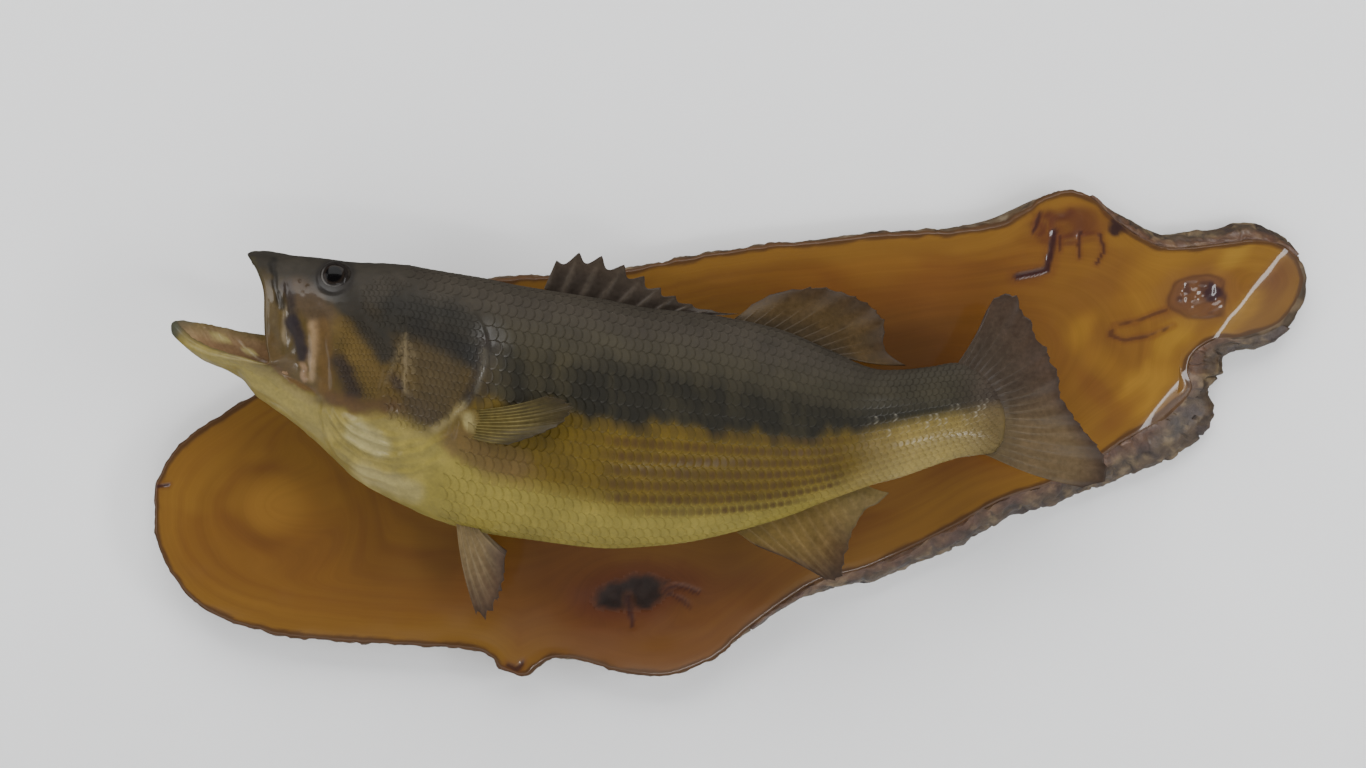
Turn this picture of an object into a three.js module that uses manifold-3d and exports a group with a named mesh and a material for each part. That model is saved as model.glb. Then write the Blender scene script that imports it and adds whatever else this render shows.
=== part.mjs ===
// A largemouth bass mounted with its mouth open on a varnished live-edge board.
// Millimetres. +X runs towards the tail, +Z is up, +Y goes into the wall.
// The origin lies on the board's flat back, which is the plane y = 0.
import * as THREE from "three";
import { mergeVertices } from "three/addons/utils/BufferGeometryUtils.js";
import Module from "manifold-3d";

const wasm = await Module();
wasm.setup();

// ---------------------------------------------------------------- driving sizes

const BOARD_THICKNESS = 28;
const BOARD_FRONT = -BOARD_THICKNESS; // y of the varnished face
const GAP = 0.3; // air between pieces that touch
const KERF = 0.35; // width of the cuts that part the body

// The trunk in cross-sections from the back of the mouth to the root of the tail fin:
// x, top z, bottom z, half width, y of the mid-plane, level of the greatest width
// (0 bottom, 1 top) and squareness (2 is an ellipse, more is boxier).
const BODY_STATIONS = [
  [-251, 108, -11, 33, -76, 0.6, 2.6],
  [-232, 106, -29, 36.5, -75, 0.58, 2.5],
  [-207, 105, -43, 40, -73.5, 0.56, 2.4],
  [-183, 101, -54, 43, -71.5, 0.54, 2.3],
  [-158, 97, -61, 45, -70, 0.53, 2.25],
  [-133, 92, -65, 46, -69.3, 0.52, 2.2],
  [-84, 84, -71, 47, -69.3, 0.5, 2.15],
  [-53, 78, -70, 46, -69.3, 0.5, 2.1],
  [-22, 75, -66, 42.5, -69.8, 0.5, 2.1],
  [27, 65, -53, 33, -71.3, 0.5, 2],
  [58, 52, -41, 26, -73.5, 0.5, 2],
  [83, 41, -32, 20, -76, 0.5, 2],
  [101, 40, -27, 16, -78, 0.5, 2],
  [120, 42, -20, 13, -81, 0.5, 2],
  [135, 44, -15, 10.5, -83.6, 0.5, 2],
  [148, 38, -13, 8.5, -86, 0.5, 2],
  [157, 28, -11, 6.5, -87.5, 0.5, 2],
  [162, 18, -4, 3.5, -88.4, 0.5, 2],
];
const HEAD_START = BODY_STATIONS[0][0];
const STALK_END = [164, -88.7, 7];

const JAW_ROLL = 0.24; // rise of the lips per millimetre towards the wall
const CHIN_ROLL = 0.45; // the same at the chin, which is turned a little further
// The lip crest round the open mouth: section angle (0 top, 180 chin), x, z, sideways
// offset from the mid-plane, and roll. The mouth corner is at 97 degrees.
const LIP_CREST = [
  [0, -298, 108.6, 0, JAW_ROLL],
  [20, -294, 108.4, 13, JAW_ROLL],
  [40, -288, 103.2, 24, JAW_ROLL],
  [60, -283, 93, 31, JAW_ROLL],
  [76, -282, 78, 34, JAW_ROLL],
  [88, -281, 64, 35, JAW_ROLL],
  [97, -279, 53, 35, JAW_ROLL],
  [107, -285, 53, 33, JAW_ROLL],
  [119, -297, 56.2, 29, 0.25],
  [132, -310, 58.3, 24, 0.28],
  [146, -323, 61, 18, 0.35],
  [162, -336, 64, 10, CHIN_ROLL],
  [180, -345, 66.8, 0, CHIN_ROLL],
];
const SNOUT_TURN = 0.067; // drift of the mid-plane from the wall, per millimetre forward
const UPPER_LIP = 3; // half thickness of the upper lip
const CHIN_LIP = 6.5; // half thickness of the jaw at the chin
const INNER_LIP = 2.6; // step from the crest down to the inside of the mouth
// Section angle, x of the way out of the head, and x and z of the way into the flesh.
const LIP_DIRECTIONS = [
  [0, 0.3, 1, -0.05],
  [70, 0.25, 1, 0],
  [90, 0.1, 0.95, -0.25],
  [104, 0, 0.65, -0.75],
  [125, -0.05, 0.45, -0.9],
  [155, -0.35, 0.6, -0.8],
  [180, -0.55, 0.8, -0.6],
];

const CHEEK_ARRIVE = 1.3; // pull of the trunk's own slope on the lines of the head
// How the floor of the mouth leaves the chin (x, z), and the slope at which roof and
// floor come to the throat, all as shares of the distance between lip and throat.
const MOUTH_FLOOR_LEAVE = [0.58, -1];
const MOUTH_ROOF_ARRIVE = -0.1;
const MOUTH_FLOOR_ARRIVE = 0.35;
const THROAT = { x: -212, y: -74, z: 46, radius: 15, depth: 9 };

const EYE = { x: -242, z: 95.2, radius: 9.8, depth: 6.5, sunk: 3, tilt: 14 };
const TONGUE = { x: -262, y: -77, z: 33, length: 58, width: 26, height: 11, tilt: 12 };

// Outline of the gill cover (x, z) on either side of the head, and its plate.
const GILL_OUTLINE = [
  [-205, 80],
  [-187, 87],
  [-165, 81],
  [-150, 61],
  [-151, 40],
  [-161, 20],
  [-181, 3],
  [-204, 1],
  [-214, 22],
  [-211, 54],
];
const GILL_CENTRE = [-182, 45];
const GILL_PLATE = { thickness: 4, raisedFront: 0.3, raisedRear: 1.8 };

// Board outline on the varnished face, from the left end along the bottom edge and
// back along the top: x, z, how far the live edge stands out beyond it at the back,
// and the bearing of that slope in degrees where it isn't square to the outline.
const BOARD_OUTLINE = [
  [-371, -44, 3],
  [-369, -70, 2],
  [-357, -95, 2],
  [-334, -116, 2],
  [-302, -127, 2],
  [-284, -131, 2],
  [-233, -135, 2],
  [-169, -139, 2],
  [-156, -144, 2],
  [-148, -152, 2],
  [-134, -156, 2],
  [-127, -150, 2],
  [-116, -145, 2],
  [-98, -146, 2],
  [-73, -153, 2],
  [-46, -156, 2],
  [-25, -150, 2],
  [-8, -141, 3],
  [10, -125, 5],
  [33, -108, 6],
  [55, -95, 8],
  [87, -86, 11],
  [138, -62, 14],
  [170, -44, 15],
  [202, -33, 15],
  [228, -20, 19],
  [247, -7, 24],
  [268, 6, 32, -38],
  [284, 19, 30, -28],
  [293, 28, 17, -4],
  [290, 39, 28, -2],
  [294, 51, 26, -6],
  [308, 60, 25, -14],
  [327, 61, 17, -25],
  [353, 70, 10, -20],
  [364, 84, 7],
  [368, 99, 6],
  [361, 112, 7],
  [349, 120, 10],
  [332, 123, 12],
  [308, 120, 11],
  [278, 118, 10],
  [260, 125, 9],
  [248, 133, 9],
  [238, 142, 5],
  [229, 150, 3],
  [215, 154, 2],
  [199, 150, 2],
  [186, 141, 5],
  [170, 133, 6],
  [145, 129, 4],
  [106, 127, 3],
  [71, 124, 3],
  [-9, 115, 2],
  [-79, 102, 2],
  [-150, 97, 2],
  [-188, 88, 2],
  [-220, 74, 2],
  [-284, 37, 2],
  [-324, 13, 2],
  [-352, -6, 2],
  [-368, -28, 3],
];
const OUTLINE_STEPS = 2; // smooth steps between two outline points
// Runs of bark, as first and last row of the outline, and the bark's thickness.
const BARK_RUNS = { bark_lower: [18, 34], bark_upper: [37, 45] };
const BARK_THICKNESS = 6;
const BARK_END = 1.4; // thickness to which a run tapers at its ends

// The right end of the board falls away behind a ridge between these two points.
const RIDGE = { from: [307, 61], to: [351, 115], fall: 22 };
const KNOT_HOLE = { x: -64, z: -103, length: 44, height: 20, depth: 7, tilt: 12 };

// Fins. Each row of tips is: fraction along the base, tip x, tip z. A fin leans by so
// many millimetres of y from its root to its tip, and is notched between its rays.
const RAY_THICKNESS = 1.7;
const WEB_THICKNESS = 0.9;
const ROOT = 4; // how deep a fin's root starts under the skin, before it is cut
const MEDIAN_FIN_END = 70; // x of the place on the mid-plane from which the rear fins lean
const TAIL_FIN = { x: 150, y: -86.5, turn: -0.12 }; // a place on it, and its turn outwards
const PELVIC_MIDDLE = -71; // y half way between the pelvic fins
const PELVIC_SPREAD = 13; // sideways place of a pelvic fin's root from there
const PECTORAL_INSET = 2; // depth of a pectoral fin's root under the skin
const PECTORAL_CLEAR = 3; // least distance of the far pectoral fin from the board

const SPINY_DORSAL = {
  base: [[-117, 93], [-84, 84], [-53, 78], [-12, 73]],
  tips: [
    [0, -111, 107],
    [0.11, -97, 112],
    [0.22, -83, 110],
    [0.34, -68, 104],
    [0.45, -56, 97],
    [0.56, -46, 90],
    [0.67, -37, 85],
    [0.78, -27, 80],
    [0.89, -15, 76.5],
    [1, 2, 74],
  ],
  rays: 10,
  notch: 0.34,
};
const SOFT_DORSAL = {
  base: [[-1, 71], [33, 62], [52, 54], [70, 46]],
  tips: [
    [0, 10, 80],
    [0.1, 24, 87],
    [0.2, 40, 90],
    [0.3, 52, 91],
    [0.42, 66, 88],
    [0.54, 78, 83],
    [0.66, 87, 77],
    [0.76, 92, 70],
    [0.85, 92, 61],
    [0.93, 93, 52],
    [1, 105, 42],
  ],
  rays: 11,
  notch: 0.03,
  lean: 3,
};
const ANAL = {
  base: [[4, -63], [33, -51], [58, -41], [81, -32]],
  tips: [
    [0, 15, -70],
    [0.08, 36, -79],
    [0.16, 49, -87],
    [0.26, 56, -91],
    [0.38, 64, -90],
    [0.48, 66, -83],
    [0.58, 69, -73],
    [0.68, 71, -62],
    [0.78, 75, -54],
    [0.88, 80, -44],
    [0.94, 89, -41],
    [1, 96, -36],
  ],
  rays: 11,
  notch: 0.03,
  lean: -2,
};
const CAUDAL = {
  base: [[136, 45], [152, 32], [161, 9], [153, -13]],
  tips: [
    [0, 157, 82],
    [0.07, 168, 86],
    [0.19, 178, 71],
    [0.31, 183, 57],
    [0.41, 190, 46],
    [0.5, 193, 37],
    [0.6, 197, 22],
    [0.7, 207, 8],
    [0.8, 217, -4],
    [0.88, 223, -16],
    [0.95, 225, -26],
    [1, 211, -34],
  ],
  rays: 14,
  notch: 0.05,
};
const PELVIC_NEAR = {
  base: [[-171, -54], [-165, -56], [-158, -57]],
  tips: [
    [0, -158, -109],
    [0.2, -152, -112],
    [0.4, -147, -107],
    [0.6, -144, -99],
    [0.8, -141, -88],
    [1, -140, -73],
  ],
  rays: 6,
  notch: 0.03,
  lean: -9,
};
const PELVIC_FAR = {
  base: [[-174, -52], [-167, -55], [-160, -57]],
  tips: [
    [0, -160, -102],
    [0.2, -154, -106],
    [0.4, -149, -105],
    [0.6, -146, -99],
    [0.8, -144, -88],
    [1, -143, -74],
  ],
  rays: 6,
  notch: 0.03,
  lean: 6,
};
const PECTORAL_NEAR = {
  base: [[-159, 15], [-161, 7], [-160, -1]],
  tips: [
    [0, -112, 24],
    [0.2, -100, 21],
    [0.4, -97, 16],
    [0.6, -104, 7],
    [0.8, -120, 0],
    [1, -135, -5],
  ],
  rays: 9,
  rows: 3,
  notch: 0.02,
  lean: -11,
};
// The far pectoral fin is folded down into the gap between the belly and the board.
const PECTORAL_FAR = {
  base: [[-161, -14], [-160, -22], [-156, -29]],
  tips: [
    [0, -113, -25],
    [0.25, -106, -31],
    [0.5, -108, -39],
    [0.75, -118, -47],
    [1, -133, -48],
  ],
  rays: 9,
  rows: 3,
  notch: 0.02,
  lean: 5,
};

// ---------------------------------------------------------------- small mathematics

const radians = THREE.MathUtils.degToRad;
const vector = (x, y, z) => new THREE.Vector3(x, y, z);
const signedPower = (value, power) => Math.sign(value) * Math.abs(value) ** power;

// Smooth curve through the rows of a table, whose first column is the parameter.
function interpolate(table, t) {
  const last = table.length - 1;
  let i = 0;
  while (i < last - 1 && t > table[i + 1][0]) i += 1;
  const [before, from, to, after] = [i - 1, i, i + 1, i + 2].map(
    (k) => table[Math.min(last, Math.max(0, k))],
  );
  const span = to[0] - from[0];
  const s = THREE.MathUtils.clamp((t - from[0]) / span, 0, 1);
  const slope = (a, b, k) => (b[k] - a[k]) / (b[0] - a[0]);
  return from.map((value, k) => {
    const m0 = slope(before, to, k) * span;
    const m1 = slope(from, after, k) * span;
    return hermite(value, m0, to[k], m1, s);
  });
}

function hermite(p0, m0, p1, m1, s) {
  const s2 = s * s;
  const s3 = s2 * s;
  return (
    (2 * s3 - 3 * s2 + 1) * p0 + (s3 - 2 * s2 + s) * m0 + (3 * s2 - 2 * s3) * p1 + (s3 - s2) * m1
  );
}

function hermitePoint(p0, m0, p1, m1, s) {
  return vector(
    hermite(p0.x, m0.x, p1.x, m1.x, s),
    hermite(p0.y, m0.y, p1.y, m1.y, s),
    hermite(p0.z, m0.z, p1.z, m1.z, s),
  );
}

// Points of a flat list [[x, z], ...] as a table keyed by the fraction of its length.
function keyedByLength(points) {
  const lengths = [0];
  for (let i = 1; i < points.length; i += 1) {
    const step = Math.hypot(points[i][0] - points[i - 1][0], points[i][1] - points[i - 1][1]);
    lengths.push(lengths[i - 1] + step);
  }
  return points.map((point, i) => [lengths[i] / lengths[points.length - 1], ...point]);
}

// ---------------------------------------------------------------- closed surfaces

function geometryFrom(points, triangles) {
  const geometry = new THREE.BufferGeometry().setFromPoints(points);
  geometry.setIndex(triangles);
  return geometry;
}

function signedVolume(points, triangles) {
  let volume = 0;
  for (let i = 0; i < triangles.length; i += 3) {
    const [a, b, c] = [0, 1, 2].map((k) => points[triangles[i + k]]);
    volume += a.dot(b.clone().cross(c)) / 6;
  }
  return volume;
}

// A geometry whose faces point out, whichever way round its triangles were listed.
function facingOut(points, triangles) {
  const outward = signedVolume(points, triangles) > 0;
  const turned = [];
  for (let i = 0; i < triangles.length; i += 3) {
    const [a, b, c] = triangles.slice(i, i + 3);
    turned.push(...(outward ? [a, b, c] : [a, c, b]));
  }
  return geometryFrom(points, turned);
}

// Closed rings joined one to the next, and both ends closed on a point.
function ringSolid(rings, startPoint, endPoint) {
  const count = rings[0].length;
  const points = [...rings.flat(), startPoint, endPoint];
  const start = points.length - 2;
  const end = points.length - 1;
  const lastRing = (rings.length - 1) * count;
  const triangles = [];
  for (let j = 0; j < count; j += 1) {
    const next = (j + 1) % count;
    triangles.push(start, next, j);
    triangles.push(end, lastRing + j, lastRing + next);
    for (let i = 0; i < rings.length - 1; i += 1) {
      const here = i * count;
      const there = here + count;
      triangles.push(here + j, here + next, there + next);
      triangles.push(here + j, there + next, there + j);
    }
  }
  return facingOut(points, triangles);
}

// A thin plate between two grids of points, each a list of rows.
function plateSolid(front, back) {
  const rows = front.length;
  const columns = front[0].length;
  const points = [...front.flat(), ...back.flat()];
  const other = rows * columns;
  const at = (i, j) => i * columns + j;
  const triangles = [];
  const quad = (a, b, c, d) => triangles.push(a, b, c, a, c, d);
  for (let i = 0; i < rows - 1; i += 1) {
    for (let j = 0; j < columns - 1; j += 1) {
      quad(at(i, j), at(i, j + 1), at(i + 1, j + 1), at(i + 1, j));
      quad(
        other + at(i, j),
        other + at(i + 1, j),
        other + at(i + 1, j + 1),
        other + at(i, j + 1),
      );
    }
  }
  const border = [];
  for (let j = 0; j < columns - 1; j += 1) border.push(at(0, j));
  for (let i = 0; i < rows - 1; i += 1) border.push(at(i, columns - 1));
  for (let j = columns - 1; j > 0; j -= 1) border.push(at(rows - 1, j));
  for (let i = rows - 1; i > 0; i -= 1) border.push(at(i, 0));
  border.forEach((a, k) => {
    const b = border[(k + 1) % border.length];
    quad(b, a, other + a, other + b);
  });
  return facingOut(points, triangles);
}

// Outlines of one shape stacked along y, with flat caps on the first and the last.
function stackedSolid(loops) {
  const count = loops[0].length;
  const points = loops.flat();
  const triangles = [];
  for (let i = 0; i < loops.length - 1; i += 1) {
    for (let j = 0; j < count; j += 1) {
      const next = (j + 1) % count;
      const here = i * count;
      const there = here + count;
      triangles.push(here + j, here + next, there + next);
      triangles.push(here + j, there + next, there + j);
    }
  }
  const cap = (loop) =>
    THREE.ShapeUtils.triangulateShape(
      loop.map((p) => new THREE.Vector2(p.x, p.z)),
      [],
    );
  const lastLoop = (loops.length - 1) * count;
  cap(loops[0]).forEach(([a, b, c]) => triangles.push(a, c, b));
  cap(loops[loops.length - 1]).forEach(([a, b, c]) => {
    triangles.push(lastLoop + a, lastLoop + b, lastLoop + c);
  });
  return facingOut(points, triangles);
}

// A blade between four corners of a flat patch, for parting the body.
function bladeSolid(corners, thickness = KERF) {
  const edge = corners[1].clone().sub(corners[0]);
  const normal = edge.cross(corners[3].clone().sub(corners[0])).normalize();
  const shift = (amount) => corners.map((p) => p.clone().addScaledVector(normal, amount));
  const [a, b, c, d] = shift(-thickness / 2);
  const [e, f, g, h] = shift(thickness / 2);
  return plateSolid(
    [[a, b], [d, c]],
    [[e, f], [h, g]],
  );
}

// ---------------------------------------------------------------- joins and cuts

function toManifold(geometry) {
  const bare = geometry.clone();
  bare.deleteAttribute("normal");
  bare.deleteAttribute("uv");
  const merged = mergeVertices(bare, 1e-4);
  return new wasm.Manifold(
    new wasm.Mesh({
      numProp: 3,
      vertProperties: new Float32Array(merged.attributes.position.array),
      triVerts: new Uint32Array(merged.index.array),
    }),
  );
}

function toGeometry(manifold) {
  const mesh = manifold.getMesh();
  const positions = new Float32Array(mesh.numVert * 3);
  for (let i = 0; i < mesh.numVert; i += 1) {
    for (let k = 0; k < 3; k += 1) {
      positions[3 * i + k] = mesh.vertProperties[mesh.numProp * i + k];
    }
  }
  const geometry = new THREE.BufferGeometry();
  geometry.setAttribute("position", new THREE.BufferAttribute(positions, 3));
  geometry.setIndex(new THREE.BufferAttribute(new Uint32Array(mesh.triVerts), 1));
  return geometry;
}

function largestPiece(manifold) {
  return manifold.decompose().sort((a, b) => b.volume() - a.volume())[0];
}

function middleOf(manifold) {
  const box = manifold.boundingBox();
  return vector(
    (box.min[0] + box.max[0]) / 2,
    (box.min[1] + box.max[1]) / 2,
    (box.min[2] + box.max[2]) / 2,
  );
}

// ---------------------------------------------------------------- the body's surface

function sectionAt(x) {
  const [, top, bottom, half, middle, level, squareness] = interpolate(BODY_STATIONS, x);
  return { top, bottom, half, middle, squareness, wide: bottom + level * (top - bottom) };
}

// A point on the trunk: angle 0 is the back, 90 the side away from the wall.
function bodyPoint(x, angle, grow) {
  const s = sectionAt(x);
  const up = Math.cos(radians(angle));
  const out = Math.sin(radians(angle));
  const power = 2 / s.squareness;
  const rise = (up > 0 ? s.top - s.wide : s.wide - s.bottom) + grow;
  return vector(
    x,
    s.middle - (s.half + grow) * signedPower(out, power),
    s.wide + rise * signedPower(up, power),
  );
}

// The y of the trunk's side at (x, z), where side is 1 away from the wall and -1 next to it.
function bodySide(x, z, side) {
  const s = sectionAt(x);
  const rise = z > s.wide ? s.top - s.wide : s.wide - s.bottom;
  const level = Math.min(1, Math.abs((z - s.wide) / rise));
  return s.middle - side * s.half * (1 - level ** s.squareness) ** (1 / s.squareness);
}

function snoutMiddle(x) {
  return BODY_STATIONS[0][4] + SNOUT_TURN * (x - HEAD_START);
}

// The crest table run round both sides of the mouth.
const mirrored = ([angle, x, z, offset, roll]) => [-angle, x, z, -offset, roll];
const turned = ([angle, ...rest]) => [360 + angle, ...rest];
const CREST_ROUND = [
  ...LIP_CREST.slice(1, 3).map(mirrored).reverse(),
  ...LIP_CREST,
  ...LIP_CREST.slice(0, -1).map(mirrored).map(turned).reverse(),
  ...LIP_CREST.slice(1, 3).map(turned),
];

function crestPoint(angle) {
  const [, x, z, offset, roll] = interpolate(CREST_ROUND, angle);
  return vector(x, snoutMiddle(x) - offset, z - roll * offset);
}

// At a place on the lips: out of the head, and back into the flesh of the jaw.
function lipFrame(angle) {
  const folded = angle > 180 ? 360 - angle : angle;
  const [, forward, fleshX, fleshZ] = interpolate(LIP_DIRECTIONS, folded);
  const out = vector(forward, -Math.sin(radians(angle)), Math.cos(radians(angle))).normalize();
  const back = vector(fleshX, 0, fleshZ);
  back.addScaledVector(out, -back.dot(out)).normalize();
  const lowerShare = THREE.MathUtils.smoothstep(folded, 97, 170);
  return { out, back, half: UPPER_LIP + (CHIN_LIP - UPPER_LIP) * lowerShare };
}

function outerLip(angle, grow) {
  const { out, back, half } = lipFrame(angle);
  return crestPoint(angle).addScaledVector(out, half + grow).addScaledVector(back, half * 0.45);
}

// From the outer lip (0) back to the first section of the trunk (1).
function cheekPoint(s, angle, grow) {
  const from = outerLip(angle, grow);
  const to = bodyPoint(HEAD_START, angle, grow);
  const chord = to.clone().sub(from);
  const reach = chord.length();
  const leave = chord.normalize().addScaledVector(lipFrame(angle).out, 0.12).normalize();
  const arrive = bodyPoint(HEAD_START + 1, angle, grow).sub(to).normalize();
  arrive.multiplyScalar(reach * CHEEK_ARRIVE);
  return hermitePoint(from, leave.multiplyScalar(reach), to, arrive, s);
}

// From the inner lip (0) back to the throat (1).
function mouthPoint(s, angle, grow) {
  const { out, back } = lipFrame(angle);
  const from = crestPoint(angle)
    .addScaledVector(out, -(INNER_LIP + grow))
    .addScaledVector(back, INNER_LIP);
  const radius = THROAT.radius - grow;
  const to = vector(
    THROAT.x,
    THROAT.y - radius * Math.sin(radians(angle)),
    THROAT.z + radius * Math.cos(radians(angle)),
  );
  const reach = to.distanceTo(from);
  const folded = angle > 180 ? 360 - angle : angle;
  const floorShare = THREE.MathUtils.smoothstep(folded, 100, 150);
  const [floorX, floorZ] = MOUTH_FLOOR_LEAVE;
  const leave = back.clone().addScaledVector(out, 0.1).normalize();
  leave.lerp(vector(floorX, 0, floorZ), floorShare).multiplyScalar(reach);
  const rise = THREE.MathUtils.lerp(MOUTH_ROOF_ARRIVE, MOUTH_FLOOR_ARRIVE, floorShare);
  return hermitePoint(from, leave, to, vector(reach * 0.7, 0, reach * rise), s);
}

const AROUND = 36; // points round a ring of the body
const MOUTH_RINGS = [1, 0.78, 0.56, 0.36, 0.18, 0];
const CHEEK_RINGS = [0, 0.16, 0.4, 0.7];
const BODY_RINGS = [
  -251, -236, -220, -200, -178, -155, -133, -109, -84, -53, -22, 3, 27, 43, 58, 71, 83, 101, 120,
  135, 148, 157, 162,
];

// The whole body as one closed solid, open-mouthed, grown outwards by a distance.
function bodySolid(grow) {
  const angles = Array.from({ length: AROUND }, (_, i) => (360 * i) / AROUND);
  const ring = (pointAt) => angles.map(pointAt);
  const crest = (angle) => crestPoint(angle).addScaledVector(lipFrame(angle).back, -grow);
  const rings = [
    ...MOUTH_RINGS.map((s) => ring((angle) => mouthPoint(s, angle, grow))),
    ring(crest),
    ...CHEEK_RINGS.map((s) => ring((angle) => cheekPoint(s, angle, grow))),
    ...BODY_RINGS.map((x) => ring((angle) => bodyPoint(x, angle, grow))),
  ];
  const throatEnd = vector(THROAT.x + THROAT.depth - grow, THROAT.y, THROAT.z);
  const [x, y, z] = STALK_END;
  return ringSolid(rings, throatEnd, vector(x + grow, y, z));
}

// ---------------------------------------------------------------- parting the body

// Where the three cuts of the head meet: just behind the corners of the mouth.
const CORNER = { x: -266, z: 49 };
const CUT_REACH = 70; // half length of a cut across the body

function cutAcross([x0, z0], [x1, z1], roll) {
  const middle = snoutMiddle(CORNER.x);
  const place = (x, z, side) =>
    vector(x, middle - side * CUT_REACH, z - side * CUT_REACH * roll);
  return bladeSolid([place(x0, z0, 1), place(x1, z1, 1), place(x1, z1, -1), place(x0, z0, -1)]);
}

const CUTS = {
  upperJaw: cutAcross([CORNER.x, CORNER.z - 0.1], [-258, 150], JAW_ROLL),
  lowerJaw: cutAcross([CORNER.x, CORNER.z + 0.1], [-246, -60], JAW_ROLL),
  corner: cutAcross([-350, 76], [CORNER.x + 0.1, CORNER.z], JAW_ROLL),
  neck: cutAcross([-160, 130], [-200, -80], 0),
  waist: cutAcross([-25, 130], [-25, -110], 0),
  stalk: cutAcross([82, 110], [82, -90], 0),
};

// A plate that follows the side of the head inside the gill cover's outline.
function gillPlate(side, grow) {
  const steps = 26;
  const outline = [...GILL_OUTLINE, GILL_OUTLINE[0], GILL_OUTLINE[1]];
  const keyed = [GILL_OUTLINE[GILL_OUTLINE.length - 1], ...outline].map((p, i) => [i - 1, ...p]);
  const [centreX, centreZ] = GILL_CENTRE;
  const place = (k, share, heightAt) => {
    const [, x, z] = interpolate(keyed, (GILL_OUTLINE.length * k) / steps);
    const reach = Math.hypot(x - centreX, z - centreZ);
    const scale = (share * (reach + grow)) / reach;
    const px = centreX + (x - centreX) * scale;
    const pz = centreZ + (z - centreZ) * scale;
    return vector(px, bodySide(px, pz, side) - side * heightAt(px), pz);
  };
  const ring = (share, heightAt) =>
    Array.from({ length: steps }, (_, k) => place(k, share, heightAt));
  const top = (x) => {
    const rearShare = THREE.MathUtils.smoothstep(x, GILL_OUTLINE[0][0], GILL_OUTLINE[3][0]);
    return THREE.MathUtils.lerp(GILL_PLATE.raisedFront, GILL_PLATE.raisedRear, rearShare) + grow;
  };
  const bottom = () => -(GILL_PLATE.thickness + grow);
  return ringSolid(
    [ring(0.6, top), ring(1, top), ring(1, bottom)],
    place(0, 0, top),
    place(0, 0, bottom),
  );
}

// A flattened eyeball that looks sideways and a little up.
function eyeball(side, grow) {
  const ball = new THREE.SphereGeometry(1, 14, 8);
  ball.scale(EYE.radius + grow, EYE.depth + grow, EYE.radius + grow);
  ball.rotateX(radians(-side * EYE.tilt));
  return ball.translate(EYE.x, bodySide(EYE.x, EYE.z, side) + side * EYE.sunk, EYE.z);
}

function tongueBody() {
  const shape = new THREE.SphereGeometry(0.5, 12, 6);
  shape.scale(TONGUE.length, TONGUE.width, TONGUE.height);
  shape.rotateY(radians(TONGUE.tilt));
  return shape.translate(TONGUE.x, TONGUE.y, TONGUE.z);
}

// Everything of the body that lies nearer to the wall than the face of the board.
function wallBlock() {
  const depth = 100;
  const block = new THREE.BoxGeometry(900, depth, 500);
  return block.translate(0, BOARD_FRONT - GAP + depth / 2, 0);
}

function makeFlesh() {
  const whole = toManifold(bodySolid(0));
  let rest = whole.subtract(toManifold(wallBlock()));
  const plates = {};
  for (const [name, side] of [["gill_cover_near", 1], ["gill_cover_far", -1]]) {
    plates[name] = largestPiece(
      toManifold(gillPlate(side, 0)).subtract(toManifold(wallBlock())),
    );
    rest = rest.subtract(toManifold(gillPlate(side, GAP)));
  }
  for (const side of [1, -1]) {
    rest = rest.subtract(toManifold(eyeball(side, GAP)));
  }
  for (const blade of Object.values(CUTS)) rest = rest.subtract(toManifold(blade));
  const pieces = rest.decompose().sort((a, b) => b.volume() - a.volume());
  const [first, second, third, fourth, fifth, sixth] = pieces
    .slice(0, 6)
    .sort((a, b) => middleOf(a).x - middleOf(b).x);
  const jaws = [first, second].sort((a, b) => middleOf(a).z - middleOf(b).z);
  return {
    upper_jaw: jaws[1],
    lower_jaw: jaws[0],
    head: third,
    trunk_front: fourth,
    trunk_rear: fifth,
    tail_stalk: sixth,
    ...plates,
  };
}

// ---------------------------------------------------------------- fins

// A closed plate with a thicker line along each ray. depthAt gives y for a place on the
// fin, and share runs from 0 at the root to 1 at the tip.
function finPlate(fin, depthAt) {
  const base = keyedByLength(fin.base);
  const columns = 2 * fin.rays - 1;
  const rows = fin.rows ?? 2;
  const centre = [];
  for (let i = 0; i <= rows; i += 1) {
    const row = [];
    for (let j = 0; j < columns; j += 1) {
      const along = j / (columns - 1);
      const [, rootX, rootZ] = interpolate(base, along);
      const [, tipX, tipZ] = interpolate(fin.tips, along);
      const length = Math.hypot(tipX - rootX, tipZ - rootZ);
      const end = j % 2 ? 1 - fin.notch : 1;
      const share = -ROOT / length + (end + ROOT / length) * (i / rows);
      const x = rootX + (tipX - rootX) * share;
      const z = rootZ + (tipZ - rootZ) * share;
      row.push(vector(x, depthAt(x, z, Math.max(0, share)), z));
    }
    centre.push(row);
  }
  const face = (direction) =>
    centre.map((row, i) =>
      row.map((point, j) => {
        const across = row[Math.min(columns - 1, j + 1)]
          .clone()
          .sub(row[Math.max(0, j - 1)]);
        const along = centre[Math.min(rows, i + 1)][j]
          .clone()
          .sub(centre[Math.max(0, i - 1)][j]);
        const normal = across.cross(along).normalize();
        const half = (j % 2 ? WEB_THICKNESS : RAY_THICKNESS) / 2;
        return point.clone().addScaledVector(normal, direction * half);
      }),
    );
  return plateSolid(face(1), face(-1));
}

const midPlane = (x) => sectionAt(Math.min(x, MEDIAN_FIN_END)).middle;
const nearPectoral = (x, z) => bodySide(x, z, 1) + PECTORAL_INSET;
const farPectoral = (x, z) => bodySide(x, z, -1) - PECTORAL_INSET;

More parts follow.
